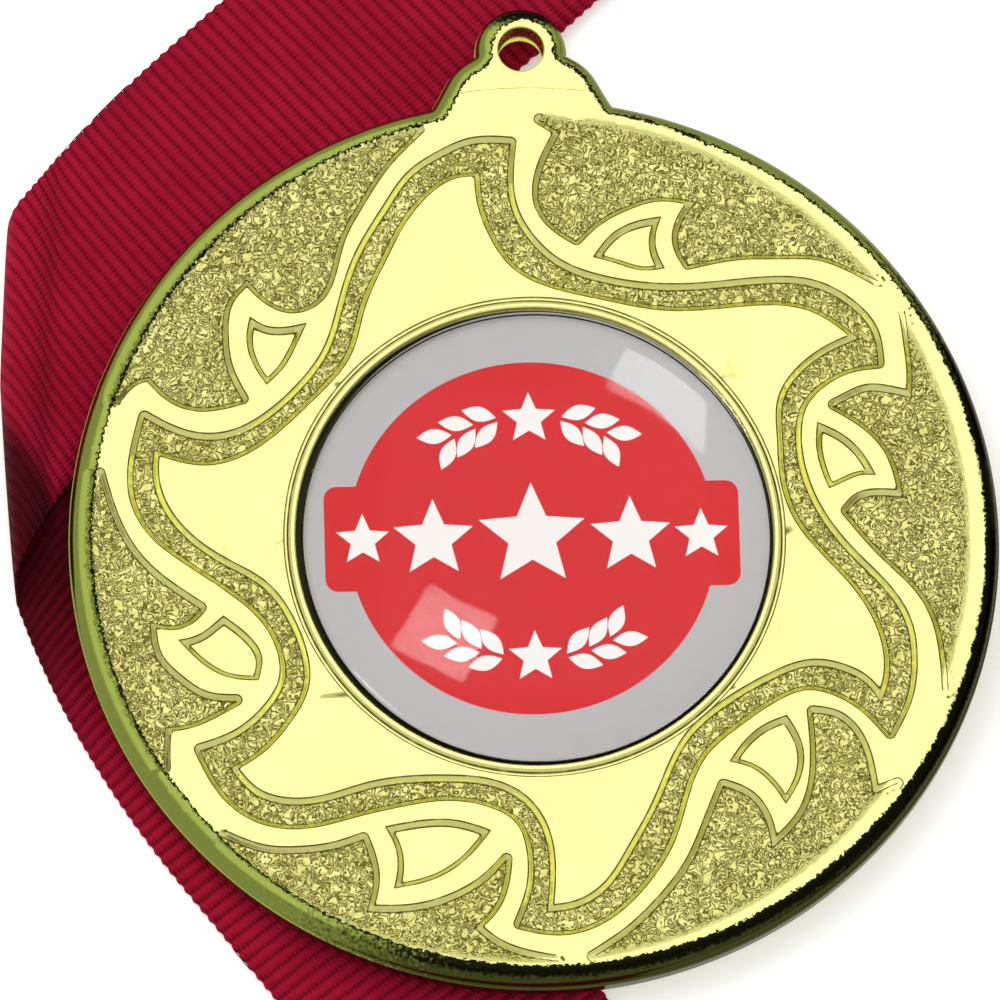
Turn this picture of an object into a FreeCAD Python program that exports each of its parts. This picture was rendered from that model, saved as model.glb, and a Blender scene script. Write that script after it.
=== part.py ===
"""Award medal with a domed centre, lying on its folded neck ribbon.

Millimetres, +Z up.  The origin is the centre of the medal's flat back face, +Y points to the
hanging lug.  The ribbon lies under the medal on the supporting surface, which is two layer
pitches below the origin, and its unused length is folded into a hank beside the medal.
"""
import FreeCAD, Part
import math
import os
import Sketcher
from FreeCAD import Placement, Rotation, Vector

doc = FreeCAD.newDocument("medal")

# ---------------------------------------------------------------- driving dimensions
DIM = {
    # cast medal
    "disc_radius": 25.0, "recess_radius": 12.85, "recess_floor": 1.2, "lip_radius": 13.45,
    "lip_height": 2.5, "ground_height": 2.0, "relief_height": 2.35, "rim_radius": 23.7,
    "edge_round": 0.9, "back_round": 0.5,
    "lug_head_radius": 2.5, "lug_hole_y": 27.65, "lug_hole_radius": 1.25, "lug_top": 2.25,
    # domed centre
    "insert_radius": 12.5, "pad_radius": 11.0, "pad_thick": 0.2, "label_thick": 0.2,
    "dome_wall": 0.55, "dome_crown": 1.9, "insert_gap": 0.02,
    # ribbon
    "ribbon_width": 14.0, "ribbon_thick": 0.45, "layer_pitch": 0.5,
    "hank_run": 63.5, "hank_height": 5.0,
    "band_thick": 0.4, "band_width": 5.0, "band_gap": 0.15,
    # end fittings
    "clamp_length": 7.0, "clamp_wall": 0.4, "clamp_gap": 1.0, "knuckle_radius": 1.3,
    "knuckle_bore": 0.78, "knuckle_width": 7.0, "wire_radius": 0.7, "link_width": 12.0,
    "link_depth": 7.0, "link_corner": 2.0, "eye_radius": 1.9, "eye_wire": 0.55, "stem_radius": 0.8,
    "stem_head_radius": 1.3, "stem_head_thick": 0.7, "collar_radius": 2.3,
    "collar_bore": 0.86, "collar_length": 2.6, "hook_wire": 1.0, "hook_half": 3.6,
    "hook_length": 9.0, "gate_thick": 0.5, "gate_width": 1.6, "rivet_radius": 0.5,
    "rivet_gap": 0.05, "rivet_head": 0.85,
}

sheet = doc.addObject("Spreadsheet::Sheet", "Sheet")
for row, (alias, value) in enumerate(DIM.items(), start=1):
    sheet.set(f"A{row}", alias)
    sheet.set(f"B{row}", str(value))
    sheet.setAlias(f"B{row}", alias)
doc.recompute()

SUB_PARTS = []


def keep(feature, label):
    """Give a finished sub-part its name and put it on the list of files to write."""
    feature.Label = label
    SUB_PARTS.append(feature)
    return feature


def bind(feature, **sizes):
    """Tie properties to expressions over the sheet's cells."""
    for name, expression in sizes.items():
        feature.setExpression(name.replace("__", "."), expression)


# ---------------------------------------------------------------- relief outlines
# The face carries a sun of six swept flames.  Each list runs clockwise from one flame to the
# next; the flames differ a little from each other, as they do on a hand-cut die.
STAR = [
    [(-2.4, 20.7), (-2.3, 19.0), (-1.7, 17.1), (-0.5, 15.3), (1.3, 14.3), (3.9, 13.6), (7.4, 12.9),
     (10.9, 13.0), (13.1, 13.1), (15.3, 12.7), (16.9, 11.7)],
    [(17.8, 10.9), (16.4, 10.3), (14.7, 9.1), (13.6, 7.4), (13.5, 5.4), (13.6, 2.9), (14.3, 0.7),
     (16.9, -2.6), (18.3, -4.9), (18.8, -6.8), (18.7, -8.5)],
    [(18.3, -9.6), (17.5, -8.5), (16.3, -7.8), (14.7, -7.5), (12.7, -8.1), (10.2, -9.5), (8.0, -11.4),
     (6.2, -15.0), (4.7, -17.7), (3.3, -19.7), (1.6, -20.7)],
    [(0.1, -20.9), (0.3, -18.6), (0.0, -16.4), (-1.0, -14.8), (-2.6, -13.9), (-4.7, -13.6),
     (-7.0, -13.6), (-9.2, -13.9), (-11.3, -14.5), (-13.5, -14.7), (-15.3, -14.1)],
    [(-16.6, -12.6), (-15.0, -11.6), (-13.5, -9.9), (-12.6, -8.1), (-12.7, -6.2), (-13.4, -4.3),
     (-14.6, -2.6), (-16.6, -1.3), (-18.9, 0.5), (-20.1, 2.4), (-20.4, 3.8)],
    [(-20.3, 5.3), (-18.9, 4.8), (-17.4, 4.6), (-15.8, 5.0), (-13.7, 6.4), (-11.9, 8.1), (-9.9, 10.5),
     (-9.1, 13.1), (-7.9, 15.8), (-6.6, 18.2), (-5.3, 19.7), (-3.8, 20.6)],
]
CHANNEL = [
    [(-0.7, 22.3), (-0.9, 20.5), (-0.7, 18.5), (0.1, 16.9), (1.7, 15.3), (3.8, 14.4), (6.3, 13.9),
     (8.8, 13.8), (12.9, 14.1), (15.3, 13.9), (17.3, 12.8), (18.5, 11.3)],
    [(18.8, 9.4), (17.3, 9.2), (15.7, 8.4), (14.6, 7.2), (14.2, 5.4), (14.4, 3.4), (15.2, 1.2),
     (17.2, -1.6), (18.8, -3.4), (19.8, -5.3), (20.0, -7.3), (19.7, -9.3)],
    [(18.7, -11.4), (17.6, -10.1), (16.0, -9.0), (14.4, -8.6), (12.6, -9.2), (10.5, -10.6),
     (8.6, -12.3), (6.7, -17.1), (5.3, -19.3), (3.4, -21.1), (1.5, -21.9), (-0.1, -21.9)],
    [(-1.4, -21.6), (-0.7, -19.7), (-0.6, -17.5), (-1.2, -15.8), (-2.8, -14.8), (-4.9, -14.4),
     (-7.6, -14.7), (-10.3, -15.3), (-11.9, -15.7), (-13.7, -15.8), (-15.6, -15.2), (-17.0, -13.9)],
    [(-18.2, -11.6), (-16.3, -10.9), (-14.5, -9.4), (-13.6, -7.8), (-13.7, -6.0), (-14.5, -4.4),
     (-16.4, -2.6), (-18.6, -1.0), (-20.6, 0.8), (-21.4, 2.6), (-21.4, 4.6)],
    [(-20.8, 7.1), (-19.4, 6.3), (-17.7, 5.8), (-15.9, 6.0), (-14.2, 6.9), (-12.4, 8.5), (-10.8, 10.7),
     (-10.0, 13.1), (-9.0, 16.0), (-7.4, 18.7), (-6.1, 20.5), (-4.5, 21.6), (-2.8, 22.3)],
]
# Outer side of each flame: out of the rim to the main tip, the first notch, the side tip, the
# second notch, and back into the rim.  Each inner list is one smooth stretch between corners.
FLAME = [
    [[(0.9, 23.6), (2.0, 22.9)], [(2.0, 22.9), (1.3, 21.6), (0.8, 20.2), (0.8, 18.7), (1.6, 17.5),
     (2.7, 16.7)], [(2.7, 16.7), (3.9, 17.8), (5.4, 18.6), (7.2, 19.1), (9.2, 18.8)],
     [(9.2, 18.8), (8.5, 17.8), (8.2, 16.4), (8.7, 15.2)],
     [(8.7, 15.2), (11.6, 15.7), (13.8, 15.7), (15.7, 15.6), (17.3, 15.0), (19.0, 14.0)]],
    [[(20.3, 12.3), (20.5, 10.4), (20.6, 8.9), (20.5, 7.5)], [(20.5, 7.5), (19.3, 7.8), (18.1, 7.9),
     (17.1, 7.5), (16.3, 7.1)], [(16.3, 7.1), (17.7, 6.2), (18.9, 5.0), (19.6, 3.5), (19.9, 1.9)],
     [(19.9, 1.9), (18.6, 2.0), (17.5, 1.8), (16.8, 1.1)],
     [(16.8, 1.1), (19.1, -1.7), (20.5, -3.2), (21.4, -4.9), (21.8, -7.0), (21.9, -9.2)]],
    [[(19.0, -14.2), (17.7, -14.7)], [(17.7, -14.7), (17.5, -13.2), (16.9, -11.4), (15.9, -10.4),
     (14.6, -10.1)], [(14.6, -10.1), (14.7, -11.9), (14.6, -13.7), (14.0, -15.6), (12.2, -17.6)],
     [(12.2, -17.6), (11.9, -16.0), (11.0, -14.7), (9.7, -14.1)],
     [(9.7, -14.1), (8.9, -16.0), (7.8, -18.4), (6.0, -20.7), (4.5, -22.1), (2.4, -23.5)]],
    [[(0.6, -23.7), (-1.2, -23.3), (-2.6, -22.7), (-3.8, -21.7)], [(-3.8, -21.7), (-2.8, -20.7),
     (-2.2, -19.3), (-2.0, -18.0)], [(-2.0, -18.0), (-3.1, -19.1), (-4.8, -20.1), (-7.0, -20.7),
     (-9.5, -20.7)], [(-9.5, -20.7), (-9.1, -19.0), (-9.3, -17.6), (-9.6, -16.7)],
     [(-9.6, -16.7), (-11.2, -17.2), (-13.0, -17.4), (-14.8, -17.3), (-17.1, -16.4)]],
    [[(-20.1, -12.6), (-20.1, -11.5), (-20.0, -10.3)], [(-20.0, -10.3), (-18.7, -10.1),
     (-17.3, -9.5), (-16.2, -8.9)], [(-16.2, -8.9), (-17.8, -8.7), (-19.3, -7.7), (-20.4, -6.4),
     (-20.7, -4.4)], [(-20.7, -4.4), (-19.4, -4.6), (-18.6, -4.3), (-18.0, -3.7)],
     [(-18.0, -3.7), (-19.4, -2.7), (-20.7, -1.6), (-21.8, -0.2), (-22.7, 1.8), (-23.3, 4.0)]],
    [[(-22.4, 8.0), (-21.2, 9.2), (-20.5, 9.4)], [(-20.5, 9.4), (-19.6, 8.4), (-18.3, 7.7),
     (-16.8, 7.7), (-15.5, 8.0)], [(-15.5, 8.0), (-16.3, 9.8), (-16.5, 11.6), (-16.2, 13.5),
     (-15.1, 14.8)], [(-15.1, 14.8), (-14.1, 13.7), (-12.7, 13.1), (-11.4, 13.6), (-10.6, 15.1),
     (-10.1, 16.9), (-9.0, 19.0), (-7.7, 21.0), (-5.6, 23.2)]],
]
# Three sides of each flame's window.
WINDOW = [
    [(3.6, 15.7), (4.8, 17.1), (6.1, 17.7), (7.3, 17.9), (7.0, 17.0), (7.0, 16.0), (7.4, 15.0),
     (6.2, 14.9), (4.9, 15.3)],
    [(15.4, 6.1), (16.7, 5.4), (17.7, 4.4), (18.4, 3.1), (17.6, 3.1), (16.8, 2.8), (15.9, 2.4),
     (15.5, 3.6), (15.3, 4.8)],
    [(13.0, -15.2), (13.8, -13.8), (14.0, -12.1), (13.2, -10.3), (12.0, -10.8), (10.9, -11.7),
     (10.1, -12.8), (11.3, -13.2), (12.3, -14.1)],
    [(-8.0, -19.5), (-7.8, -18.4), (-7.9, -17.2), (-8.4, -16.1), (-6.6, -15.8), (-4.7, -15.8),
     (-2.8, -16.4), (-4.2, -18.0), (-6.1, -19.1)],
    [(-19.2, -5.5), (-18.3, -5.3), (-17.5, -4.8), (-16.8, -4.2), (-15.6, -5.2), (-14.8, -6.5),
     (-15.0, -7.8), (-16.6, -7.6), (-18.2, -6.6)],
    [(-14.2, 8.8), (-14.9, 10.0), (-15.2, 11.4), (-15.0, 12.6), (-14.2, 12.1), (-13.1, 12.0),
     (-12.0, 12.2), (-12.6, 10.9), (-13.3, 9.7)],
]


def spline_through(points):
    """One smooth curve through points in the sketch plane."""
    curve = Part.BSplineCurve()
    curve.interpolate([Vector(x, y, 0) for x, y in points])
    return curve


def ring_of_curves(stretches):
    """Curves of a closed outline, one for each smooth stretch between its corners."""
    curves = []
    for index, stretch in enumerate(stretches):
        following = stretches[(index + 1) % len(stretches)][0]
        if stretch[-1] != following:
            stretch = stretch + [following]
        if len(stretch) == 2:
            curves.append(Part.LineSegment(Vector(*stretch[0], 0), Vector(*stretch[1], 0)))
        else:
            curves.append(spline_through(stretch))
    return curves


def flame_outline():
    """Outer outline of the raised band, joined inside the rim between neighbouring flames."""
    stretches = []
    for number, flame in enumerate(FLAME):
        stretches.extend(flame)
        start = flame[-1][-1]
        end = FLAME[(number + 1) % len(FLAME)][0][0]
        stretches.append([start, end])
    return ring_of_curves(stretches)


def window_outlines():
    """Curves of the six three-sided windows."""
    curves = []
    for corners in WINDOW:
        sides = [corners[0:4], corners[3:7], corners[6:9] + corners[0:1]]
        curves.extend(spline_through(side) for side in sides)
    return curves


# ---------------------------------------------------------------- sketch helpers
def origin_plane(body, role):
    """One of a body's own base planes, found by its role."""
    return [plane for plane in body.Origin.OriginFeatures if plane.Role == role][0]


def new_sketch(body, role, name):
    """Empty sketch on a base plane of its own body."""
    sketch = body.newObject("Sketcher::SketchObject", name)
    sketch.AttachmentSupport = [(origin_plane(body, role), "")]
    sketch.MapMode = "FlatFace"
    return sketch


def place_point(sketch, index, end, x_cell, y_cell):
    """Fix one end of a curve by its distances from the sketch's origin."""
    for kind, cell in (("DistanceX", x_cell), ("DistanceY", y_cell)):
        if cell is None:
            axis = -2 if kind == "DistanceX" else -1
            sketch.addConstraint(Sketcher.Constraint("PointOnObject", index, end, axis))
            continue
        number = sketch.addConstraint(Sketcher.Constraint(kind, -1, 1, index, end, DIM[cell]))
        sketch.setExpression(f"Constraints[{number}]", f"Sheet.{cell}")


def profile_sketch(body, role, name, cells):
    """Closed polygon whose corners are pairs of cell names; None stands for zero."""
    sketch = new_sketch(body, role, name)
    corners = [Vector(DIM.get(x, 0.0), DIM.get(y, 0.0), 0) for x, y in cells]
    count = len(corners)
    for index in range(count):
        sketch.addGeometry(Part.LineSegment(corners[index], corners[(index + 1) % count]), False)
    for index in range(count):
        following = (index + 1) % count
        sketch.addConstraint(Sketcher.Constraint("Coincident", index, 2, following, 1))
        place_point(sketch, index, 1, *cells[index])
    return sketch


def circle_sketch(body, role, name, radius_cell, centre=(0.0, 0.0)):
    """One circle with its radius bound to a cell."""
    sketch = new_sketch(body, role, name)
    circle = Part.Circle(Vector(*centre, 0), Vector(0, 0, 1), DIM[radius_cell])
    sketch.addGeometry(circle, False)
    number = sketch.addConstraint(Sketcher.Constraint("Radius", 0, DIM[radius_cell]))
    sketch.setExpression(f"Constraints[{number}]", f"Sheet.{radius_cell}")
    return sketch


def add_pad(body, sketch, name, length_expression, base_expression=None):
    """Pad a sketch upward, from a height above its plane when one is given."""
    if base_expression:
        sketch.setExpression("AttachmentOffset.Base.z", base_expression)
    pad = body.newObject("PartDesign::Pad", name)
    pad.Profile = sketch
    pad.setExpression("Length", length_expression)
    return pad


def add_revolution(body, sketch, name):
    """Turn a profile a full turn about the sketch's vertical axis."""
    turned = body.newObject("PartDesign::Revolution", name)
    turned.Profile = sketch
    turned.ReferenceAxis = (sketch, ["V_Axis"])
    turned.Angle = 360.0
    return turned


def fixed_feature(label, shape):
    """Sub-part whose form none of the parametric features makes."""
    feature = doc.addObject("Part::Feature", label)
    feature.Shape = shape
    return keep(feature, label)


# ---------------------------------------------------------------- the cast medal
def edges_at(shape, radius, height, tolerance=0.02):
    """Names of the full circular edges of a radius at a height."""
    names = []
    for number, edge in enumerate(shape.Edges, start=1):
        curve = edge.Curve
        is_circle = isinstance(curve, Part.Circle)
        if is_circle and abs(curve.Radius - radius) < tolerance and abs(curve.Center.z - height) < tolerance:
            names.append(f"Edge{number}")
    return names


def make_casting():
    """Disc with a raised rim, a lipped recess, the sun relief and the hanging lug, in one piece."""
    body = doc.addObject("PartDesign::Body", "Casting")
    profile = profile_sketch(body, "XZ_Plane", "DiscProfile", [
        (None, None), ("disc_radius", None), ("disc_radius", "relief_height"),
        ("rim_radius", "relief_height"), ("rim_radius", "ground_height"),
        ("lip_radius", "ground_height"), ("lip_radius", "lip_height"),
        ("recess_radius", "lip_height"), ("recess_radius", "recess_floor"), (None, "recess_floor")])
    disc = add_revolution(body, profile, "Disc")
    doc.recompute()

    top_round = body.newObject("PartDesign::Fillet", "TopRound")
    top_round.Base = (disc, edges_at(disc.Shape, DIM["disc_radius"], DIM["relief_height"]))
    bind(top_round, Radius="Sheet.edge_round")
    doc.recompute()
    back_round = body.newObject("PartDesign::Fillet", "BackRound")
    back_round.Base = (top_round, edges_at(top_round.Shape, DIM["disc_radius"], 0.0))
    bind(back_round, Radius="Sheet.back_round")
    doc.recompute()

    lug = new_sketch(body, "XY_Plane", "LugOutline")
    hole_y = DIM["lug_hole_y"]
    head = DIM["lug_head_radius"]
    for curve in lug_curves(hole_y, head):
        lug.addGeometry(curve, False)
    number = lug.addConstraint(Sketcher.Constraint("Radius", 0, head))
    lug.setExpression(f"Constraints[{number}]", "Sheet.lug_head_radius")
    add_pad(body, lug, "Lug", "Sheet.lug_top")

    star = new_sketch(body, "XY_Plane", "StarOutline")
    star.addGeometry(ring_of_curves(STAR), False)
    inner = Part.Circle(Vector(0, 0, 0), Vector(0, 0, 1), DIM["lip_radius"] - 0.3)
    star.addGeometry(inner, False)
    add_pad(body, star, "Star", "Sheet.relief_height - Sheet.recess_floor", "Sheet.recess_floor")

    band = new_sketch(body, "XY_Plane", "FlameBand")
    band.addGeometry(flame_outline() + ring_of_curves(CHANNEL) + window_outlines(), False)
    add_pad(body, band, "Flames", "Sheet.relief_height - Sheet.recess_floor", "Sheet.recess_floor")
    doc.recompute()

    hole = circle_sketch(body, "XY_Plane", "LugHole", "lug_hole_radius", (0.0, hole_y))
    drilled = body.newObject("PartDesign::Pocket", "LugDrilling")
    drilled.Profile = hole
    drilled.Type = "ThroughAll"
    drilled.Midplane = True
    doc.recompute()
    return keep(body, "medal_casting")


LUG_FOOT = (4.9, 24.4)
LUG_BULGE = (3.95, 26.25)
LUG_ROOT_Y = 22.0


def lug_curves(hole_y, head):
    """Bell-shaped ear: a round head on two bulged shoulders that run into the disc's edge."""
    spread = math.radians(5.0)
    neck = Vector(head * math.cos(spread), hole_y - head * math.sin(spread), 0)
    foot = Vector(*LUG_FOOT, 0)
    bulge = Vector(*LUG_BULGE, 0)
    left_neck = Vector(-neck.x, neck.y, 0)
    left_foot = Vector(-foot.x, foot.y, 0)
    left_bulge = Vector(-bulge.x, bulge.y, 0)
    low_right = Vector(foot.x, LUG_ROOT_Y, 0)
    low_left = Vector(-foot.x, LUG_ROOT_Y, 0)
    return [
        Part.ArcOfCircle(Part.Circle(Vector(0, hole_y, 0), Vector(0, 0, 1), head),
                         -spread, math.pi + spread),
        Part.Arc(left_neck, left_bulge, left_foot),
        Part.LineSegment(left_foot, low_left),
        Part.LineSegment(low_left, low_right),
        Part.LineSegment(low_right, foot),
        Part.Arc(foot, bulge, neck),
    ]


# ---------------------------------------------------------------- domed centre
def make_disc(label, radius_cell, height, base):
    """Plain round layer of the centre, on the layer below it."""
    disc = doc.addObject("Part::Cylinder", label.title().replace("_", ""))
    bind(disc, Radius=f"Sheet.{radius_cell}", Height=height, Placement__Base__z=base)
    return keep(disc, label)


def make_dome(base):
    """Clear poured dome: a short round wall with a spherical crown on it."""
    rise = "(Sheet.dome_crown - Sheet.dome_wall)"
    sphere_radius = f"(Sheet.insert_radius^2 + {rise}^2) / (2 * {rise})"
    wall = doc.addObject("Part::Cylinder", "DomeWall")
    bind(wall, Radius="Sheet.insert_radius", Height="Sheet.dome_crown", Placement__Base__z=base)
    ball = doc.addObject("Part::Sphere", "DomeBall")
    bind(ball, Radius=sphere_radius, Placement__Base__z=f"{base} + Sheet.dome_crown - {sphere_radius}")
    dome = doc.addObject("Part::MultiCommon", "Dome")
    dome.Shapes = [wall, ball]
    return keep(dome, "clear_dome")


# ---------------------------------------------------------------- ribbon
HALF = DIM["ribbon_width"] / 2
FLOOR = -2 * DIM["layer_pitch"]
UPPER_DIRECTION = 42.0
LOWER_DIRECTION = -52.5
HANK_X = 37.5
HANK_LOW = -27.5
HANK_HIGH = HANK_LOW + DIM["hank_run"]
HANK_BASE = FLOOR + 2 * DIM["layer_pitch"] + 0.05
HANK_TOP = HANK_BASE + DIM["hank_height"]
FOLD_START = (-25.8, 13.48)
# Stretches of the roll's section: length along the ribbon and the angle it turns through, in degrees.
FOLD_STRETCHES = [(1.3, 40.0), (0.3, 0.0), (1.9, -40.0), (1.716, -90.0), (1.05, -90.0), (0.4, 0.0)]
UPPER_RUN = 56.37
LOWER_RUN = 69.69
UPPER_CORNER = (16.1, 51.2)
LOWER_CORNER = (12.8, -48.7)
UPPER_ENTRY = (HANK_X, 34.5)
LOWER_ENTRY = (HANK_X, -24.0)
ENDS_TOP = 3.9
ENDS_BOTTOM = 2.9
END_CLEARANCE = 0.02


def flat_strip(start, end, start_axis, end_axis, bottom):
    """Slab along a straight run of ribbon, cut at each end along a fold's axis, in degrees."""
    run = Vector(end[0] - start[0], end[1] - start[1], 0)
    along = math.atan2(run.y, run.x)
    side = Vector(-math.sin(along), math.cos(along), 0) * HALF
    corners = []
    for point, axis, offsets in ((start, start_axis, (1, -1)), (end, end_axis, (-1, 1))):
        slant = 1 / math.tan(math.radians(axis) - along)
        forward = Vector(math.cos(along), math.sin(along), 0) * HALF * slant
        corners.extend(Vector(*point, bottom) + (side + forward) * sign for sign in offsets)
    face = Part.Face(Part.makePolygon(corners + corners[:1]))
    return face.extrude(Vector(0, 0, DIM["ribbon_thick"]))


def roll_profile():
    """Middle line of the soft roll as (reach beyond its start line, height) points, upper leg first."""
    reach, height, heading = 0.0, FLOOR + DIM["layer_pitch"] + DIM["ribbon_thick"] / 2, 0.0
    points = [(reach, height)]
    for length, turn in FOLD_STRETCHES:
        steps = 6 if turn else 1
        for _ in range(steps):
            heading += turn / steps / 2
            reach += length / steps * math.cos(math.radians(heading))
            height += length / steps * math.sin(math.radians(heading))
            heading += turn / steps / 2
            points.append((reach, height))
    return points


def make_fold(axis):
    """The soft roll where the ribbon turns over beside the medal, as one bent strip of flat facets."""
    middle = roll_profile()
    direction = math.radians(axis)
    along = Vector(math.cos(direction), math.sin(direction), 0)
    across = Vector(math.sin(direction), -math.cos(direction), 0)
    slant = math.radians(axis - LOWER_DIRECTION)
    width = DIM["ribbon_width"] / abs(math.sin(slant))
    shear = abs(1 / math.tan(slant))
    start = Vector(*FOLD_START, 0)
    rows = []
    travelled = 0.0
    for index, (reach, height) in enumerate(middle):
        before = middle[max(index - 1, 0)]
        after = middle[min(index + 1, len(middle) - 1)]
        if index:
            travelled += math.dist(before, (reach, height))
        lean = math.atan2(after[1] - before[1], after[0] - before[0])
        offset = across * -math.sin(lean) + Vector(0, 0, math.cos(lean))
        offset = offset * (DIM["ribbon_thick"] / 2)
        centre = start + across * reach + Vector(0, 0, height) + along * (travelled * shear)
        near = centre - along * (width / 2)
        far = centre + along * (width / 2)
        rows.append((near - offset, near + offset, far + offset, far - offset))
    faces = [Part.Face(Part.makePolygon([*row, row[0]])) for row in (rows[0], rows[-1])]
    for first, second in zip(rows, rows[1:]):
        for side in range(4):
            a, b = first[side], first[(side + 1) % 4]
            c, d = second[(side + 1) % 4], second[side]
            faces.append(Part.Face(Part.makePolygon([a, b, c, a])))
            faces.append(Part.Face(Part.makePolygon([a, c, d, a])))
    return Part.Solid(Part.Shell(faces)).removeSplitter()


def rounded_box(low, high, radius, along):
    """Box with its four edges that run along one axis rounded."""
    size = high - low
    box = Part.makeBox(size.x, size.y, size.z, low)
    edges = [edge for edge in box.Edges if abs(edge.tangentAt(edge.FirstParameter).dot(along)) > 0.99]
    return box.makeFillet(radius, edges)


def make_ribbon():
    """The ribbon as plain slabs, run by run, and one block for its folded length."""
    thick = DIM["ribbon_thick"]
    pitch = DIM["layer_pitch"]
    fold_axis = (UPPER_DIRECTION + LOWER_DIRECTION) / 2 - 90.0
    upper_return = math.degrees(math.atan2(UPPER_ENTRY[1] - UPPER_CORNER[1],
                                           UPPER_ENTRY[0] - UPPER_CORNER[0]))
    lower_return = math.degrees(math.atan2(LOWER_ENTRY[1] - LOWER_CORNER[1],
                                           LOWER_ENTRY[0] - LOWER_CORNER[0]))
    upper_fold = (UPPER_DIRECTION + upper_return) / 2
    lower_fold = (LOWER_DIRECTION + lower_return) / 2
    upper_start = point_along(UPPER_CORNER, UPPER_DIRECTION, -UPPER_RUN)
    lower_start = point_along(LOWER_CORNER, LOWER_DIRECTION, -LOWER_RUN)
    fixed_feature("ribbon_upper_run", flat_strip(upper_start, UPPER_CORNER, fold_axis, upper_fold,
                                                 FLOOR + pitch))
    fixed_feature("ribbon_lower_run", flat_strip(lower_start, LOWER_CORNER, fold_axis, lower_fold,
                                                 FLOOR))
    fixed_feature("ribbon_fold", make_fold(fold_axis))
    fixed_feature("ribbon_upper_return", flat_strip(UPPER_CORNER, UPPER_ENTRY, upper_fold,
                                                    (upper_return - 90.0) / 2, FLOOR))
    fixed_feature("ribbon_lower_return", flat_strip(LOWER_CORNER, LOWER_ENTRY, lower_fold,
                                                    (lower_return + 90.0) / 2, FLOOR + pitch))
    hank = rounded_box(Vector(HANK_X - HALF, HANK_LOW, HANK_BASE), Vector(HANK_X + HALF, HANK_HIGH, HANK_TOP),
                       0.45 * DIM["hank_height"], Vector(1, 0, 0))
    fixed_feature("ribbon_hank", hank)
    over = BAR_Z + thick + END_CLEARANCE
    under = BAR_Z - thick - END_CLEARANCE
    gripped = CLAMP_FRONT + 1.5
    ends = [Vector(0, HANK_LOW + 1.0, ENDS_TOP), Vector(0, CLAMP_BACK, over), Vector(0, gripped, over),
            Vector(0, gripped, under), Vector(0, CLAMP_BACK, under), Vector(0, HANK_LOW + 1.0, ENDS_BOTTOM)]
    face = Part.Face(Part.makePolygon([Vector(HANK_X - HALF, p.y, p.z) for p in ends + ends[:1]]))
    fixed_feature("ribbon_ends", face.extrude(Vector(2 * HALF, 0, 0)).cut(hank))


def point_along(point, direction, distance):
    """Point at a distance from another, in a direction in degrees."""
    angle = math.radians(direction)
    return (point[0] + distance * math.cos(angle), point[1] + distance * math.sin(angle))


def make_band():
    """Paper band round the middle of the hank."""
    gap = DIM["band_gap"]
    thick = DIM["band_thick"]
    width = DIM["band_width"]
    middle = (HANK_LOW + HANK_HIGH) / 2
    reach = HALF + gap + thick
    outer = rounded_box(Vector(HANK_X - reach, middle - width / 2, FLOOR),
                        Vector(HANK_X + reach, middle + width / 2, HANK_TOP + gap + thick),
                        0.8, Vector(0, 1, 0))
    inner = Part.makeBox(2 * (HALF + gap), width + 2, HANK_TOP + gap - FLOOR - thick,
                         Vector(HANK_X - HALF - gap, middle - width / 2 - 1, FLOOR + thick))
    return fixed_feature("hank_band", outer.cut(inner))


# ---------------------------------------------------------------- end fittings
BAR_Z = FLOOR + 2.6
CLAMP_BACK = HANK_LOW - 10.0
CLAMP_FRONT = CLAMP_BACK - DIM["clamp_length"]
NEAR_BAR_Y = CLAMP_FRONT - 0.9
FAR_BAR_Y = NEAR_BAR_Y - DIM["link_depth"]
EYE_Y = FAR_BAR_Y - 0.3
STEM_TOP = EYE_Y - DIM["eye_radius"]
COLLAR_TOP = STEM_TOP - 1.3
COLLAR_END = COLLAR_TOP - DIM["collar_length"]
STEM_END = COLLAR_END - 0.15
HOOK_TURN_Y = COLLAR_END - DIM["hook_length"]
PIVOT = Vector(HANK_X - DIM["hook_half"] + 0.4, COLLAR_END - 1.9, BAR_Z)
TIP_RISE = 1.2
EAR_RADIUS = 1.1
EAR_THICK = 0.5
EAR_LENGTH = 2.7
EAR_REACH = 3.2


def bound_box(name, size, corner):
    """Box whose three sizes are expressions over the sheet."""
    box = doc.addObject("Part::Box", name)
    bind(box, Length=size[0], Width=size[1], Height=size[2])
    box.Placement = Placement(corner, Rotation())
    return box


def bound_cylinder(name, radius, height, start, direction):
    """Cylinder along a direction, with its radius and height bound to the sheet."""
    cylinder = doc.addObject("Part::Cylinder", name)
    bind(cylinder, Radius=radius, Height=height)
    cylinder.Placement = Placement(start, Rotation(Vector(0, 0, 1), direction))
    return cylinder


def fuse(name, features):
    """Union of several features."""
    union = doc.addObject("Part::MultiFuse", name)
    union.Shapes = features
    return union


def cut(name, base, tool):
    """One feature with another taken away."""
    difference = doc.addObject("Part::Cut", name)
    difference.Base = base
    difference.Tool = tool
    return difference


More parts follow.
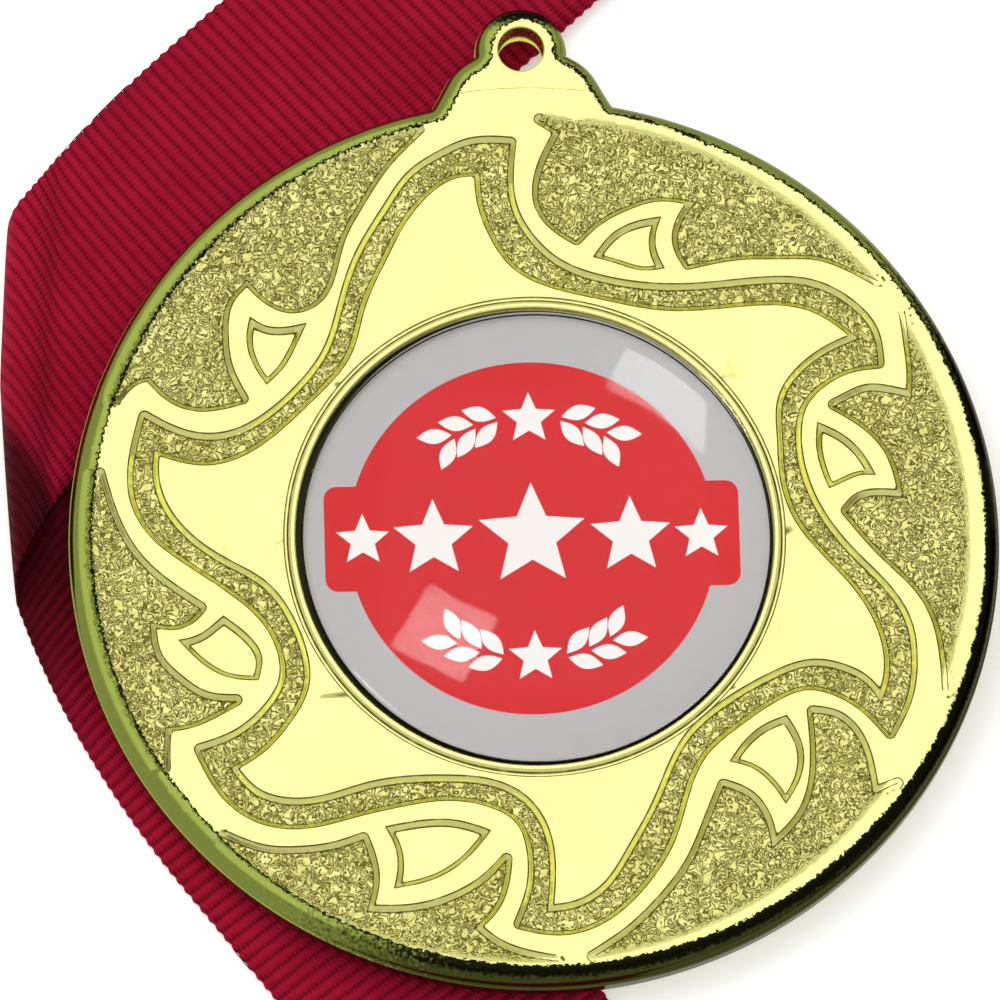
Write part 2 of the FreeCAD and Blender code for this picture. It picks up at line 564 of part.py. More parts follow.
def make_clamp():
    """Folded metal clamp over the ribbon's two ends, with a knuckle for the wire link."""
    wall = DIM["clamp_wall"]
    gap = DIM["clamp_gap"]
    wide = DIM["ribbon_width"] + 1.0
    outer = bound_box("ClampOuter", ("Sheet.ribbon_width + 1", "Sheet.clamp_length",
                                     "Sheet.clamp_gap + 2 * Sheet.clamp_wall"),
                      Vector(HANK_X - wide / 2, CLAMP_FRONT, BAR_Z - gap / 2 - wall))
    mouth = bound_box("ClampMouth", ("Sheet.ribbon_width + 3", "Sheet.clamp_length", "Sheet.clamp_gap"),
                      Vector(HANK_X - wide / 2 - 1, CLAMP_FRONT + wall, BAR_Z - gap / 2))
    width = DIM["knuckle_width"]
    along = Vector(1, 0, 0)
    knuckle = bound_cylinder("ClampKnuckle", "Sheet.knuckle_radius", "Sheet.knuckle_width",
                             Vector(HANK_X - width / 2, NEAR_BAR_Y, BAR_Z), along)
    bore = bound_cylinder("ClampBore", "Sheet.knuckle_bore", "Sheet.knuckle_width + 2",
                          Vector(HANK_X - width / 2 - 1, NEAR_BAR_Y, BAR_Z), along)
    shell = cut("ClampShell", outer, mouth)
    return keep(cut("Clamp", fuse("ClampSolid", [shell, knuckle]), bore), "ribbon_clamp")


def swept_wire(path, radius):
    """Round wire of a radius along a path that starts at its first vertex."""
    first = path.Edges[0]
    start = first.valueAt(first.FirstParameter)
    section = Part.Wire(Part.makeCircle(radius, start, first.tangentAt(first.FirstParameter)))
    return path.makePipeShell([section], True, False)


def make_link():
    """Closed wire link with rounded corners: its straight near bar turns in the clamp's knuckle."""
    half = DIM["link_width"] / 2
    corner = DIM["link_corner"]
    near = NEAR_BAR_Y
    far = FAR_BAR_Y
    bend = corner * (1 - math.sqrt(0.5))

    def at(x, y):
        return Vector(HANK_X + x, y, BAR_Z)

    path = Part.Wire([
        Part.LineSegment(at(0, near), at(half - corner, near)).toShape(),
        Part.Arc(at(half - corner, near), at(half - bend, near - bend), at(half, near - corner)).toShape(),
        Part.LineSegment(at(half, near - corner), at(half, far + corner)).toShape(),
        Part.Arc(at(half, far + corner), at(half - bend, far + bend), at(half - corner, far)).toShape(),
        Part.LineSegment(at(half - corner, far), at(corner - half, far)).toShape(),
        Part.Arc(at(corner - half, far), at(bend - half, far + bend), at(-half, far + corner)).toShape(),
        Part.LineSegment(at(-half, far + corner), at(-half, near - corner)).toShape(),
        Part.Arc(at(-half, near - corner), at(bend - half, near - bend), at(corner - half, near)).toShape(),
        Part.LineSegment(at(corner - half, near), at(0, near)).toShape(),
    ])
    return fixed_feature("wire_link", swept_wire(path, DIM["wire_radius"]))


def make_eye():
    """Swivel eye round the link's far bar, with a stem and a rivet head inside the hook."""
    down = Vector(0, -1, 0)
    ring = doc.addObject("Part::Torus", "EyeRing")
    bind(ring, Radius1="Sheet.eye_radius", Radius2="Sheet.eye_wire")
    ring.Placement = Placement(Vector(HANK_X, EYE_Y, BAR_Z), Rotation(Vector(0, 0, 1), Vector(1, 0, 0)))
    stem = bound_cylinder("EyeStem", "Sheet.stem_radius", f"{STEM_TOP - STEM_END + 0.2}",
                          Vector(HANK_X, STEM_TOP, BAR_Z), down)
    head = bound_cylinder("EyeHead", "Sheet.stem_head_radius", "Sheet.stem_head_thick",
                          Vector(HANK_X, STEM_END, BAR_Z), down)
    return keep(fuse("Eye", [ring, stem, head]), "swivel_eye")


def make_hook():
    """Cast hook: a collar that turns on the stem, the bent arm, and two ears for the gate."""
    half = DIM["hook_half"]
    wire = DIM["hook_wire"]
    down = Vector(0, -1, 0)
    collar = Part.makeCylinder(DIM["collar_radius"], DIM["collar_length"], Vector(HANK_X, COLLAR_TOP, BAR_Z), down)
    bore = Part.makeCylinder(DIM["collar_bore"], DIM["collar_length"] + 2,
                             Vector(HANK_X, COLLAR_TOP + 1, BAR_Z), down)

    def at(x, y):
        return Vector(HANK_X + x, y, BAR_Z)

    arm_top = COLLAR_END + 1.0
    arm_inset = half - 1.4
    lean = COLLAR_END - 1.6
    tip_y = HOOK_TURN_Y + TIP_RISE
    path = Part.Wire([
        Part.LineSegment(at(arm_inset, arm_top), at(half, lean)).toShape(),
        Part.LineSegment(at(half, lean), at(half, HOOK_TURN_Y)).toShape(),
        Part.Arc(at(half, HOOK_TURN_Y), at(0, HOOK_TURN_Y - half), at(-half, HOOK_TURN_Y)).toShape(),
        Part.LineSegment(at(-half, HOOK_TURN_Y), at(-half, tip_y)).toShape(),
    ])
    start = path.Edges[0]
    section = Part.Wire(Part.makeCircle(wire, at(arm_inset, arm_top), start.tangentAt(start.FirstParameter)))
    arm = path.makePipeShell([section], True, False, 2)
    tip = Part.makeSphere(wire, at(-half, tip_y))
    inner = DIM["gate_width"] / 2 + DIM["rivet_gap"]
    ears = []
    for side in (-1, 1):
        low = BAR_Z + side * inner - (EAR_THICK if side < 0 else 0.0)
        ear = Part.makeCylinder(EAR_RADIUS, EAR_THICK, Vector(PIVOT.x, PIVOT.y, low), Vector(0, 0, 1))
        web = Part.makeBox(EAR_LENGTH, EAR_REACH, EAR_THICK, Vector(PIVOT.x - EAR_RADIUS, PIVOT.y, low))
        ears.extend([ear, web])
    rivet = Part.makeCylinder(DIM["rivet_radius"], 4.0, PIVOT - Vector(0, 0, 2), Vector(0, 0, 1))
    body = collar.fuse([arm, tip] + ears).removeSplitter()
    return fixed_feature("hook_body", body.cut(bore).cut(rivet))


def make_rivet():
    """Headed rivet on which the gate turns."""
    inner = DIM["gate_width"] / 2 + DIM["rivet_gap"] + EAR_THICK
    up = Vector(0, 0, 1)
    shank = Part.makeCylinder(DIM["rivet_radius"], 2 * inner, PIVOT - up * inner, up)
    heads = [Part.makeCylinder(DIM["rivet_head"], 0.3, PIVOT + up * height, up) for height in (inner, -inner - 0.3)]
    return fixed_feature("gate_rivet", shank.fuse(heads))


def make_gate():
    """Spring-steel gate: a curled knuckle on the rivet and a flat tongue to the hook's tip."""
    half_width = DIM["gate_width"] / 2
    up = Vector(0, 0, 1)
    thick = DIM["gate_thick"]
    knuckle = Part.makeCylinder(DIM["rivet_radius"] + DIM["rivet_gap"] + 0.35, 2 * half_width,
                                PIVOT - up * half_width, up)
    tongue_end = HOOK_TURN_Y + TIP_RISE + DIM["hook_wire"] + 0.12
    tongue = Part.makeBox(thick, PIVOT.y - tongue_end, 2 * half_width,
                          Vector(PIVOT.x - thick / 2, tongue_end, PIVOT.z - half_width))
    bore = Part.makeCylinder(DIM["rivet_radius"] + DIM["rivet_gap"], 4.0, PIVOT - up * 2, up)
    return fixed_feature("spring_gate", knuckle.fuse(tongue).removeSplitter().cut(bore))


# ---------------------------------------------------------------- assembly and export
def build():
    """Make every sub-part in its place."""
    make_casting()
    pad_base = "Sheet.recess_floor + Sheet.insert_gap"
    label_base = f"{pad_base} + Sheet.pad_thick + Sheet.insert_gap"
    dome_base = f"{label_base} + Sheet.label_thick + Sheet.insert_gap"
    make_disc("adhesive_pad", "pad_radius", "Sheet.pad_thick", pad_base)
    make_disc("printed_label", "insert_radius", "Sheet.label_thick", label_base)
    make_dome(dome_base)
    make_ribbon()
    make_band()
    make_clamp()
    make_link()
    make_eye()
    make_hook()
    make_rivet()
    make_gate()


def check():
    """Stop if any object failed to rebuild or any sub-part is empty or broken."""
    doc.recompute()
    failed = [item.Name for item in doc.Objects if {"Invalid", "Error"} & set(item.State)]
    if failed:
        raise RuntimeError(f"objects that failed: {failed}")
    for feature in SUB_PARTS:
        if feature.Shape.isNull() or not feature.Shape.isValid():
            raise RuntimeError(f"bad shape: {feature.Label}")


def export():
    """Write one STEP file for each sub-part."""
    os.makedirs("parts", exist_ok=True)
    for feature in SUB_PARTS:
        feature.Shape.exportStep(f"parts/{feature.Label}.step")
        box = feature.Shape.BoundBox
        print(f"{feature.Label:20s} solids {len(feature.Shape.Solids)} volume {feature.Shape.Volume:9.2f} "
              f"x {box.XMin:.2f}..{box.XMax:.2f} y {box.YMin:.2f}..{box.YMax:.2f} z {box.ZMin:.2f}..{box.ZMax:.2f}")


build()
check()
export()
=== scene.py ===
"""Looks of the award medal: relief, hammered ground, domed centre and the folded ribbon.

Everything is worked out in millimetres in the row frame and scaled to metres when a mesh is made.
"""
import math

import bpy
import numpy as np
from mathutils import Matrix, Vector
from mathutils.geometry import delaunay_2d_cdt
from mathutils.kdtree import KDTree


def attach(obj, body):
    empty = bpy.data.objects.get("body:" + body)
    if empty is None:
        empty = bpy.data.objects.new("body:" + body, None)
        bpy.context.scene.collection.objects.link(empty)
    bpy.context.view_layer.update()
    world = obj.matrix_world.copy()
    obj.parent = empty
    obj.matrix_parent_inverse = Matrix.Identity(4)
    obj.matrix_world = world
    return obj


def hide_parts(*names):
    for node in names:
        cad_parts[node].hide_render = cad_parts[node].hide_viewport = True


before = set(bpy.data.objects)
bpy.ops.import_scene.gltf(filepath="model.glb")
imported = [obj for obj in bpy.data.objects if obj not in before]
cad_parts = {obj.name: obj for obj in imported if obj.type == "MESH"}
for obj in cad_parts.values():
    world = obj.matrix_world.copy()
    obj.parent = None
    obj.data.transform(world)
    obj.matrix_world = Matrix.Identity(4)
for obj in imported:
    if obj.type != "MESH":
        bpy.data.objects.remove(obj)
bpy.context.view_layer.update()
MM = 0.001
ROOT = "medal_and_ribbon"

# ---------------------------------------------------------------- heights and radii of the medal
DISC = 25.0
TOP, GROUND, FLOOR = 2.35, 2.0, -1.0
BEVEL, LINE_HALF = 0.30, 0.075
EDGE_ROUND, EDGE_TOP = 0.95, 1.25
LUG_ROUND, HOLE_ROUND = 0.6, 0.22
BRIGHT_CENTRE, BRIGHT_RADIUS = (0.24, 0.06), 23.98
CREASE, CREASE_HALF = 25.4, 0.05
LIP = 13.5
HOLE_Y, HOLE_R, LUG_R = 27.65, 1.25, 2.5
TEXTURE_CENTRE, TEXTURE_RADIUS = (-0.45, 0.1), 24.0
RELIEF_LIMIT = 24.6

# ---------------------------------------------------------------- relief outlines, as the CAD has them
STAR = [
    [(-2.4, 20.7), (-2.3, 19.0), (-1.7, 17.1), (-0.5, 15.3), (1.3, 14.3), (3.9, 13.6), (7.4, 12.9),
     (10.9, 13.0), (13.1, 13.1), (15.3, 12.7), (16.9, 11.7)],
    [(17.8, 10.9), (16.4, 10.3), (14.7, 9.1), (13.6, 7.4), (13.5, 5.4), (13.6, 2.9), (14.3, 0.7),
     (16.9, -2.6), (18.3, -4.9), (18.8, -6.8), (18.7, -8.5)],
    [(18.3, -9.6), (17.5, -8.5), (16.3, -7.8), (14.7, -7.5), (12.7, -8.1), (10.2, -9.5), (8.0, -11.4),
     (6.2, -15.0), (4.7, -17.7), (3.3, -19.7), (1.6, -20.7)],
    [(0.1, -20.9), (0.3, -18.6), (0.0, -16.4), (-1.0, -14.8), (-2.6, -13.9), (-4.7, -13.6),
     (-7.0, -13.6), (-9.2, -13.9), (-11.3, -14.5), (-13.5, -14.7), (-15.3, -14.1)],
    [(-16.6, -12.6), (-15.0, -11.6), (-13.5, -9.9), (-12.6, -8.1), (-12.7, -6.2), (-13.4, -4.3),
     (-14.6, -2.6), (-16.6, -1.3), (-18.9, 0.5), (-20.1, 2.4), (-20.4, 3.8)],
    [(-20.3, 5.3), (-18.9, 4.8), (-17.4, 4.6), (-15.8, 5.0), (-13.7, 6.4), (-11.9, 8.1), (-9.9, 10.5),
     (-9.1, 13.1), (-7.9, 15.8), (-6.6, 18.2), (-5.3, 19.7), (-3.8, 20.6)],
]
CHANNEL = [
    [(-0.7, 22.3), (-0.9, 20.5), (-0.7, 18.5), (0.1, 16.9), (1.7, 15.3), (3.8, 14.4), (6.3, 13.9),
     (8.8, 13.8), (12.9, 14.1), (15.3, 13.9), (17.3, 12.8), (18.5, 11.3)],
    [(18.8, 9.4), (17.3, 9.2), (15.7, 8.4), (14.6, 7.2), (14.2, 5.4), (14.4, 3.4), (15.2, 1.2),
     (17.2, -1.6), (18.8, -3.4), (19.8, -5.3), (20.0, -7.3), (19.7, -9.3)],
    [(18.7, -11.4), (17.6, -10.1), (16.0, -9.0), (14.4, -8.6), (12.6, -9.2), (10.5, -10.6),
     (8.6, -12.3), (6.7, -17.1), (5.3, -19.3), (3.4, -21.1), (1.5, -21.9), (-0.1, -21.9)],
    [(-1.4, -21.6), (-0.7, -19.7), (-0.6, -17.5), (-1.2, -15.8), (-2.8, -14.8), (-4.9, -14.4),
     (-7.6, -14.7), (-10.3, -15.3), (-11.9, -15.7), (-13.7, -15.8), (-15.6, -15.2), (-17.0, -13.9)],
    [(-18.2, -11.6), (-16.3, -10.9), (-14.5, -9.4), (-13.6, -7.8), (-13.7, -6.0), (-14.5, -4.4),
     (-16.4, -2.6), (-18.6, -1.0), (-20.6, 0.8), (-21.4, 2.6), (-21.4, 4.6)],
    [(-20.8, 7.1), (-19.4, 6.3), (-17.7, 5.8), (-15.9, 6.0), (-14.2, 6.9), (-12.4, 8.5), (-10.8, 10.7),
     (-10.0, 13.1), (-9.0, 16.0), (-7.4, 18.7), (-6.1, 20.5), (-4.5, 21.6), (-2.8, 22.3)],
]
# Outer side of each flame: out of the rim to the main tip, the first notch, the side tip, the
# second notch, and back into the rim.  Each inner list is one smooth stretch between corners, and
# starts where the one before it ends.
FLAME = [
    [[(0.9, 23.6), (2.0, 22.9)], [(1.3, 21.6), (0.8, 20.2), (0.8, 18.7), (1.6, 17.5),
     (2.7, 16.7)], [(3.9, 17.8), (5.4, 18.6), (7.2, 19.1), (9.2, 18.8)],
     [(8.5, 17.8), (8.2, 16.4), (8.7, 15.2)],
     [(11.6, 15.7), (13.8, 15.7), (15.7, 15.6), (17.3, 15.0), (19.0, 14.0)]],
    [[(20.3, 12.3), (20.5, 10.4), (20.6, 8.9), (20.5, 7.5)], [(19.3, 7.8), (18.1, 7.9),
     (17.1, 7.5), (16.3, 7.1)], [(17.7, 6.2), (18.9, 5.0), (19.6, 3.5), (19.9, 1.9)],
     [(18.6, 2.0), (17.5, 1.8), (16.8, 1.1)],
     [(19.1, -1.7), (20.5, -3.2), (21.4, -4.9), (21.8, -7.0), (21.9, -9.2)]],
    [[(19.0, -14.2), (17.7, -14.7)], [(17.5, -13.2), (16.9, -11.4), (15.9, -10.4),
     (14.6, -10.1)], [(14.7, -11.9), (14.6, -13.7), (14.0, -15.6), (12.2, -17.6)],
     [(11.9, -16.0), (11.0, -14.7), (9.7, -14.1)],
     [(8.9, -16.0), (7.8, -18.4), (6.0, -20.7), (4.5, -22.1), (2.4, -23.5)]],
    [[(0.6, -23.7), (-1.2, -23.3), (-2.6, -22.7), (-3.8, -21.7)], [(-2.8, -20.7),
     (-2.2, -19.3), (-2.0, -18.0)], [(-3.1, -19.1), (-4.8, -20.1), (-7.0, -20.7),
     (-9.5, -20.7)], [(-9.1, -19.0), (-9.3, -17.6), (-9.6, -16.7)],
     [(-11.2, -17.2), (-13.0, -17.4), (-14.8, -17.3), (-17.1, -16.4)]],
    [[(-20.1, -12.6), (-20.1, -11.5), (-20.0, -10.3)], [(-18.7, -10.1),
     (-17.3, -9.5), (-16.2, -8.9)], [(-17.8, -8.7), (-19.3, -7.7), (-20.4, -6.4),
     (-20.7, -4.4)], [(-19.4, -4.6), (-18.6, -4.3), (-18.0, -3.7)],
     [(-19.4, -2.7), (-20.7, -1.6), (-21.8, -0.2), (-22.7, 1.8), (-23.3, 4.0)]],
    [[(-22.4, 8.0), (-21.2, 9.2), (-20.5, 9.4)], [(-19.6, 8.4), (-18.3, 7.7),
     (-16.8, 7.7), (-15.5, 8.0)], [(-16.3, 9.8), (-16.5, 11.6), (-16.2, 13.5),
     (-15.1, 14.8)], [(-14.1, 13.7), (-12.7, 13.1), (-11.4, 13.6), (-10.6, 15.1),
     (-10.1, 16.9), (-9.0, 19.0), (-7.7, 21.0), (-5.6, 23.2)]],
]
# Three sides of each flame's window.
WINDOW = [
    [(3.6, 15.7), (4.8, 17.1), (6.1, 17.7), (7.3, 17.9), (7.0, 17.0), (7.0, 16.0), (7.4, 15.0),
     (6.2, 14.9), (4.9, 15.3)],
    [(15.4, 6.1), (16.7, 5.4), (17.7, 4.4), (18.4, 3.1), (17.6, 3.1), (16.8, 2.8), (15.9, 2.4),
     (15.5, 3.6), (15.3, 4.8)],
    [(13.0, -15.2), (13.8, -13.8), (14.0, -12.1), (13.2, -10.3), (12.0, -10.8), (10.9, -11.7),
     (10.1, -12.8), (11.3, -13.2), (12.3, -14.1)],
    [(-8.0, -19.5), (-7.8, -18.4), (-7.9, -17.2), (-8.4, -16.1), (-6.6, -15.8), (-4.7, -15.8),
     (-2.8, -16.4), (-4.2, -18.0), (-6.1, -19.1)],
    [(-19.2, -5.5), (-18.3, -5.3), (-17.5, -4.8), (-16.8, -4.2), (-15.6, -5.2), (-14.8, -6.5),
     (-15.0, -7.8), (-16.6, -7.6), (-18.2, -6.6)],
    [(-14.2, 8.8), (-14.9, 10.0), (-15.2, 11.4), (-15.0, 12.6), (-14.2, 12.1), (-13.1, 12.0),
     (-12.0, 12.2), (-12.6, 10.9), (-13.3, 9.7)],
]


# ---------------------------------------------------------------- camera, light and floor
OVERHEAD_POWER, FILL_POWER, WINDOW_POWER = 2.65, 2.4, 1.3


def make_camera():
    """Camera at the photographed angle, rolled a little about its own line of sight."""
    target = Vector((-1.73, 2.77, 0.0))
    place = Vector((-28.32, -233.79, 755.66))
    back = (place - target).normalized()
    right = Vector((0, 0, 1)).cross(back).normalized()
    up = back.cross(right)
    roll = math.radians(5.12)
    x_axis = right * math.cos(roll) + up * math.sin(roll)
    y_axis = up * math.cos(roll) - right * math.sin(roll)
    data = bpy.data.cameras.new("camera")
    data.lens, data.sensor_width = 529.6, 36.0
    data.clip_start, data.clip_end = 0.01, 20.0
    camera = bpy.data.objects.new("camera", data)
    bpy.context.scene.collection.objects.link(camera)
    turn = Matrix((x_axis, y_axis, back)).transposed().to_4x4()
    camera.matrix_world = Matrix.Translation(place * MM) @ turn
    bpy.context.scene.camera = camera


def area_light(name, place, size, power):
    """White rectangular lamp at a place in millimetres, facing the medal's middle."""
    data = bpy.data.lights.new(name, "AREA")
    data.shape = "RECTANGLE"
    data.size, data.size_y = size[0] * MM, size[1] * MM
    data.energy = power
    lamp = bpy.data.objects.new(name, data)
    bpy.context.scene.collection.objects.link(lamp)
    lamp.location = Vector(place) * MM
    lamp.rotation_mode = "QUATERNION"
    lamp.rotation_quaternion = (Vector((0, 0, 0)) - Vector(place)).to_track_quat("-Z", "Y")
    return lamp


def make_studio():
    """Pale floor, even surroundings, one broad soft light overhead and one to the side."""
    world = bpy.data.worlds.new("studio")
    world.use_nodes = True
    background = world.node_tree.nodes["Background"]
    background.inputs["Color"].default_value = (0.64, 0.64, 0.60, 1)
    background.inputs["Strength"].default_value = 1.0
    bpy.context.scene.world = world
    bpy.context.scene.view_settings.view_transform = "Standard"
    area_light("overhead", (0, 300, 900), (1100, 1100), OVERHEAD_POWER)
    area_light("fill", (-450, 350, 800), (600, 600), FILL_POWER).visible_glossy = False
    reach = 3000.0
    corners = [(x, y, FLOOR - 0.02) for y in (-reach, reach) for x in (-reach, reach)]
    floor = new_object("floor", corners, [(0, 1, 3, 2)])
    material = new_material("pale_floor")
    shader = material.node_tree.nodes["Principled BSDF"]
    shader.inputs["Base Color"].default_value = (0.92, 0.92, 0.92, 1)
    shader.inputs["Roughness"].default_value = 0.8
    shader.inputs["Emission Color"].default_value = (1, 1, 1, 1)
    shader.inputs["Emission Strength"].default_value = 0.35
    floor.data.materials.append(material)
    floor.visible_glossy = False


def window_lights(dome):
    """Two small bright boxes that show in the resin dome only."""
    seen_by = bpy.data.collections.new("dome_only")
    seen_by.objects.link(dome)
    for lamp in (area_light("window_right", (150, 288, 380), (110, 125), WINDOW_POWER),
                 area_light("window_left", (-320, -179, 351), (130, 110), 2 * WINDOW_POWER)):
        lamp.light_linking.receiver_collection = seen_by


# ---------------------------------------------------------------- mesh helpers
def new_object(name, points, faces, smooth=True):
    """Mesh object from points in millimetres."""
    mesh = bpy.data.meshes.new(name)
    mesh.from_pydata([tuple(np.array(p) * MM) for p in points], [], faces)
    mesh.update()
    if smooth:
        mesh.polygons.foreach_set("use_smooth", [True] * len(mesh.polygons))
    made = bpy.data.objects.new(name, mesh)
    bpy.context.scene.collection.objects.link(made)
    return made


def circle(centre, radius, count):
    """Points round a circle."""
    return [(centre[0] + radius * math.cos(2 * math.pi * k / count),
             centre[1] + radius * math.sin(2 * math.pi * k / count)) for k in range(count)]


def ring_quads(rows, count):
    """Quads between closed rows of points."""
    quads = []
    for row in range(rows - 1):
        for k in range(count):
            a, b = row * count + k, row * count + (k + 1) % count
            quads.append((a, b, b + count, a + count))
    return quads


def lathe(profile, steps=192, centre=(0.0, 0.0)):
    """Points and quads of a profile of (radius, height) turned about the upright axis."""
    points = [(x, y, height) for radius, height in profile for x, y in circle(centre, radius, steps)]
    return points, ring_quads(len(profile), steps)


def smooth_line(points, step):
    """Cubic spline through points, sampled about every step; the last point is left off."""
    p = np.array(points, float)
    t = np.concatenate([[0.0], np.cumsum(np.linalg.norm(np.diff(p, axis=0), axis=1))])
    count = max(2, int(round(t[-1] / step)))
    s = np.linspace(0, t[-1], count + 1)[:-1]
    if len(p) == 2:
        return p[0] + (p[1] - p[0]) * (s / t[-1])[:, None]
    n, h = len(p), np.diff(t)
    matrix, target = np.eye(n), np.zeros((n, 2))
    for i in range(1, n - 1):
        matrix[i, i - 1:i + 2] = h[i - 1], 2 * (h[i - 1] + h[i]), h[i]
        target[i] = 6 * ((p[i + 1] - p[i]) / h[i] - (p[i] - p[i - 1]) / h[i - 1])
    bend = np.linalg.solve(matrix, target)
    i = np.clip(np.searchsorted(t, s, "right") - 1, 0, n - 2)
    a, b, hi = (t[i + 1] - s)[:, None], (s - t[i])[:, None], h[i][:, None]
    return (bend[i] * a ** 3 + bend[i + 1] * b ** 3) / (6 * hi) \
        + (p[i] / hi - bend[i] * hi / 6) * a + (p[i + 1] / hi - bend[i + 1] * hi / 6) * b


def flame_stretches(flame):
    """The stretches of a flame, each with the corner it starts from."""
    return [flame[k - 1][-1:] * (k > 0) + stretch for k, stretch in enumerate(flame)]


def closed_line(stretches, step):
    """Closed outline from smooth stretches that meet at corners."""
    parts = []
    for index, stretch in enumerate(stretches):
        following = stretches[(index + 1) % len(stretches)][0]
        whole = list(stretch) + ([following] if stretch[-1] != following else [])
        parts.append(smooth_line(whole, step))
    return np.concatenate(parts)


def arc_points(centre, radius, start, end, step):
    """Points along an arc between two angles in radians, the last left off."""
    count = max(2, int(abs(end - start) * radius / step))
    angle = np.linspace(start, end, count + 1)[:-1]
    return np.stack([centre[0] + radius * np.cos(angle), centre[1] + radius * np.sin(angle)], 1)


def inside(points, outline):
    """Which points lie inside a closed outline."""
    result = np.zeros(len(points), bool)
    a, b = outline, np.roll(outline, -1, axis=0)
    for first in range(0, len(points), 4000):
        p = points[first:first + 4000]
        x, y = p[:, 0:1], p[:, 1:2]
        straddles = (a[:, 1] > y) != (b[:, 1] > y)
        with np.errstate(divide="ignore", invalid="ignore"):
            crossing = a[:, 0] + (y - a[:, 1]) * (b[:, 0] - a[:, 0]) / (b[:, 1] - a[:, 1])
        result[first:first + 4000] = (straddles & (x < crossing)).sum(1) % 2 == 1
    return result


def finder(points):
    """Nearest-point finder over flat points."""
    tree = KDTree(len(points))
    for index, (x, y) in enumerate(points):
        tree.insert((x, y, 0.0), index)
    tree.balance()
    return tree


def distances(tree, points):
    """Distance from each flat point to the nearest point of a finder."""
    return np.array([tree.find((x, y, 0.0))[2] for x, y in points])


def offset_line(outline, reach, tree, closed=True):
    """Pieces of the line at a distance to one side of an outline, with its crossings left out."""
    before, after = np.roll(outline, 1, axis=0), np.roll(outline, -1, axis=0)
    sharp = np.sign(reach)
    size = abs(reach)
    raw = []
    for p, b, a in zip(outline, before, after):
        into, out = (p - b), (a - p)
        first = np.array([-into[1], into[0]]) / max(np.linalg.norm(into), 1e-9) * sharp
        second = np.array([-out[1], out[0]]) / max(np.linalg.norm(out), 1e-9) * sharp
        turn = math.atan2(first[0] * second[1] - first[1] * second[0], float(first @ second))
        fans = max(1, int(abs(turn) / 0.3)) if turn * sharp < 0 else 1
        for k in range(fans + 1 if fans > 1 else 1):
            angle = turn * (k / fans if fans > 1 else 0.5)
            normal = np.array([first[0] * math.cos(angle) - first[1] * math.sin(angle),
                               first[0] * math.sin(angle) + first[1] * math.cos(angle)])
            raw.append(p + normal * size)
    raw = np.array(raw)
    keep = distances(tree, raw) > size * 0.97
    pieces, run = [], []
    for point, good in zip(raw, keep):
        if good and (not run or np.linalg.norm(point - run[-1]) > 0.06):
            run.append(point)
        elif not good and run:
            pieces.append(np.array(run))
            run = []
    if run:
        if closed and pieces and keep[0]:
            pieces[0] = np.concatenate([np.array(run), pieces[0]])
        else:
            pieces.append(np.array(run))
            if closed and keep.all():
                pieces[-1] = np.concatenate([pieces[-1], pieces[-1][:1]])
    return [piece for piece in pieces if len(piece) > 1]


# ---------------------------------------------------------------- the medal's face
def silhouette(step):
    """Outline of the disc with its lug, anticlockwise from the right foot of the lug."""
    foot, neck = math.atan2(24.35, 4.9), math.radians(5.0)
    left = math.pi - foot
    disc = arc_points((0, 0), DISC, left, foot + 2 * math.pi, step)
    head = arc_points((0, HOLE_Y), LUG_R, -neck, math.pi + neck, step)
    shoulder = [(DISC * math.cos(foot), DISC * math.sin(foot)), (4.45, 25.35), (3.95, 26.25),
                (3.3, 26.95), (LUG_R * math.cos(neck), HOLE_Y - LUG_R * math.sin(neck))]
    other = [(-x, y) for x, y in reversed(shoulder)]
    return np.concatenate([disc, smooth_line(shoulder, step), head, smooth_line(other, step)])


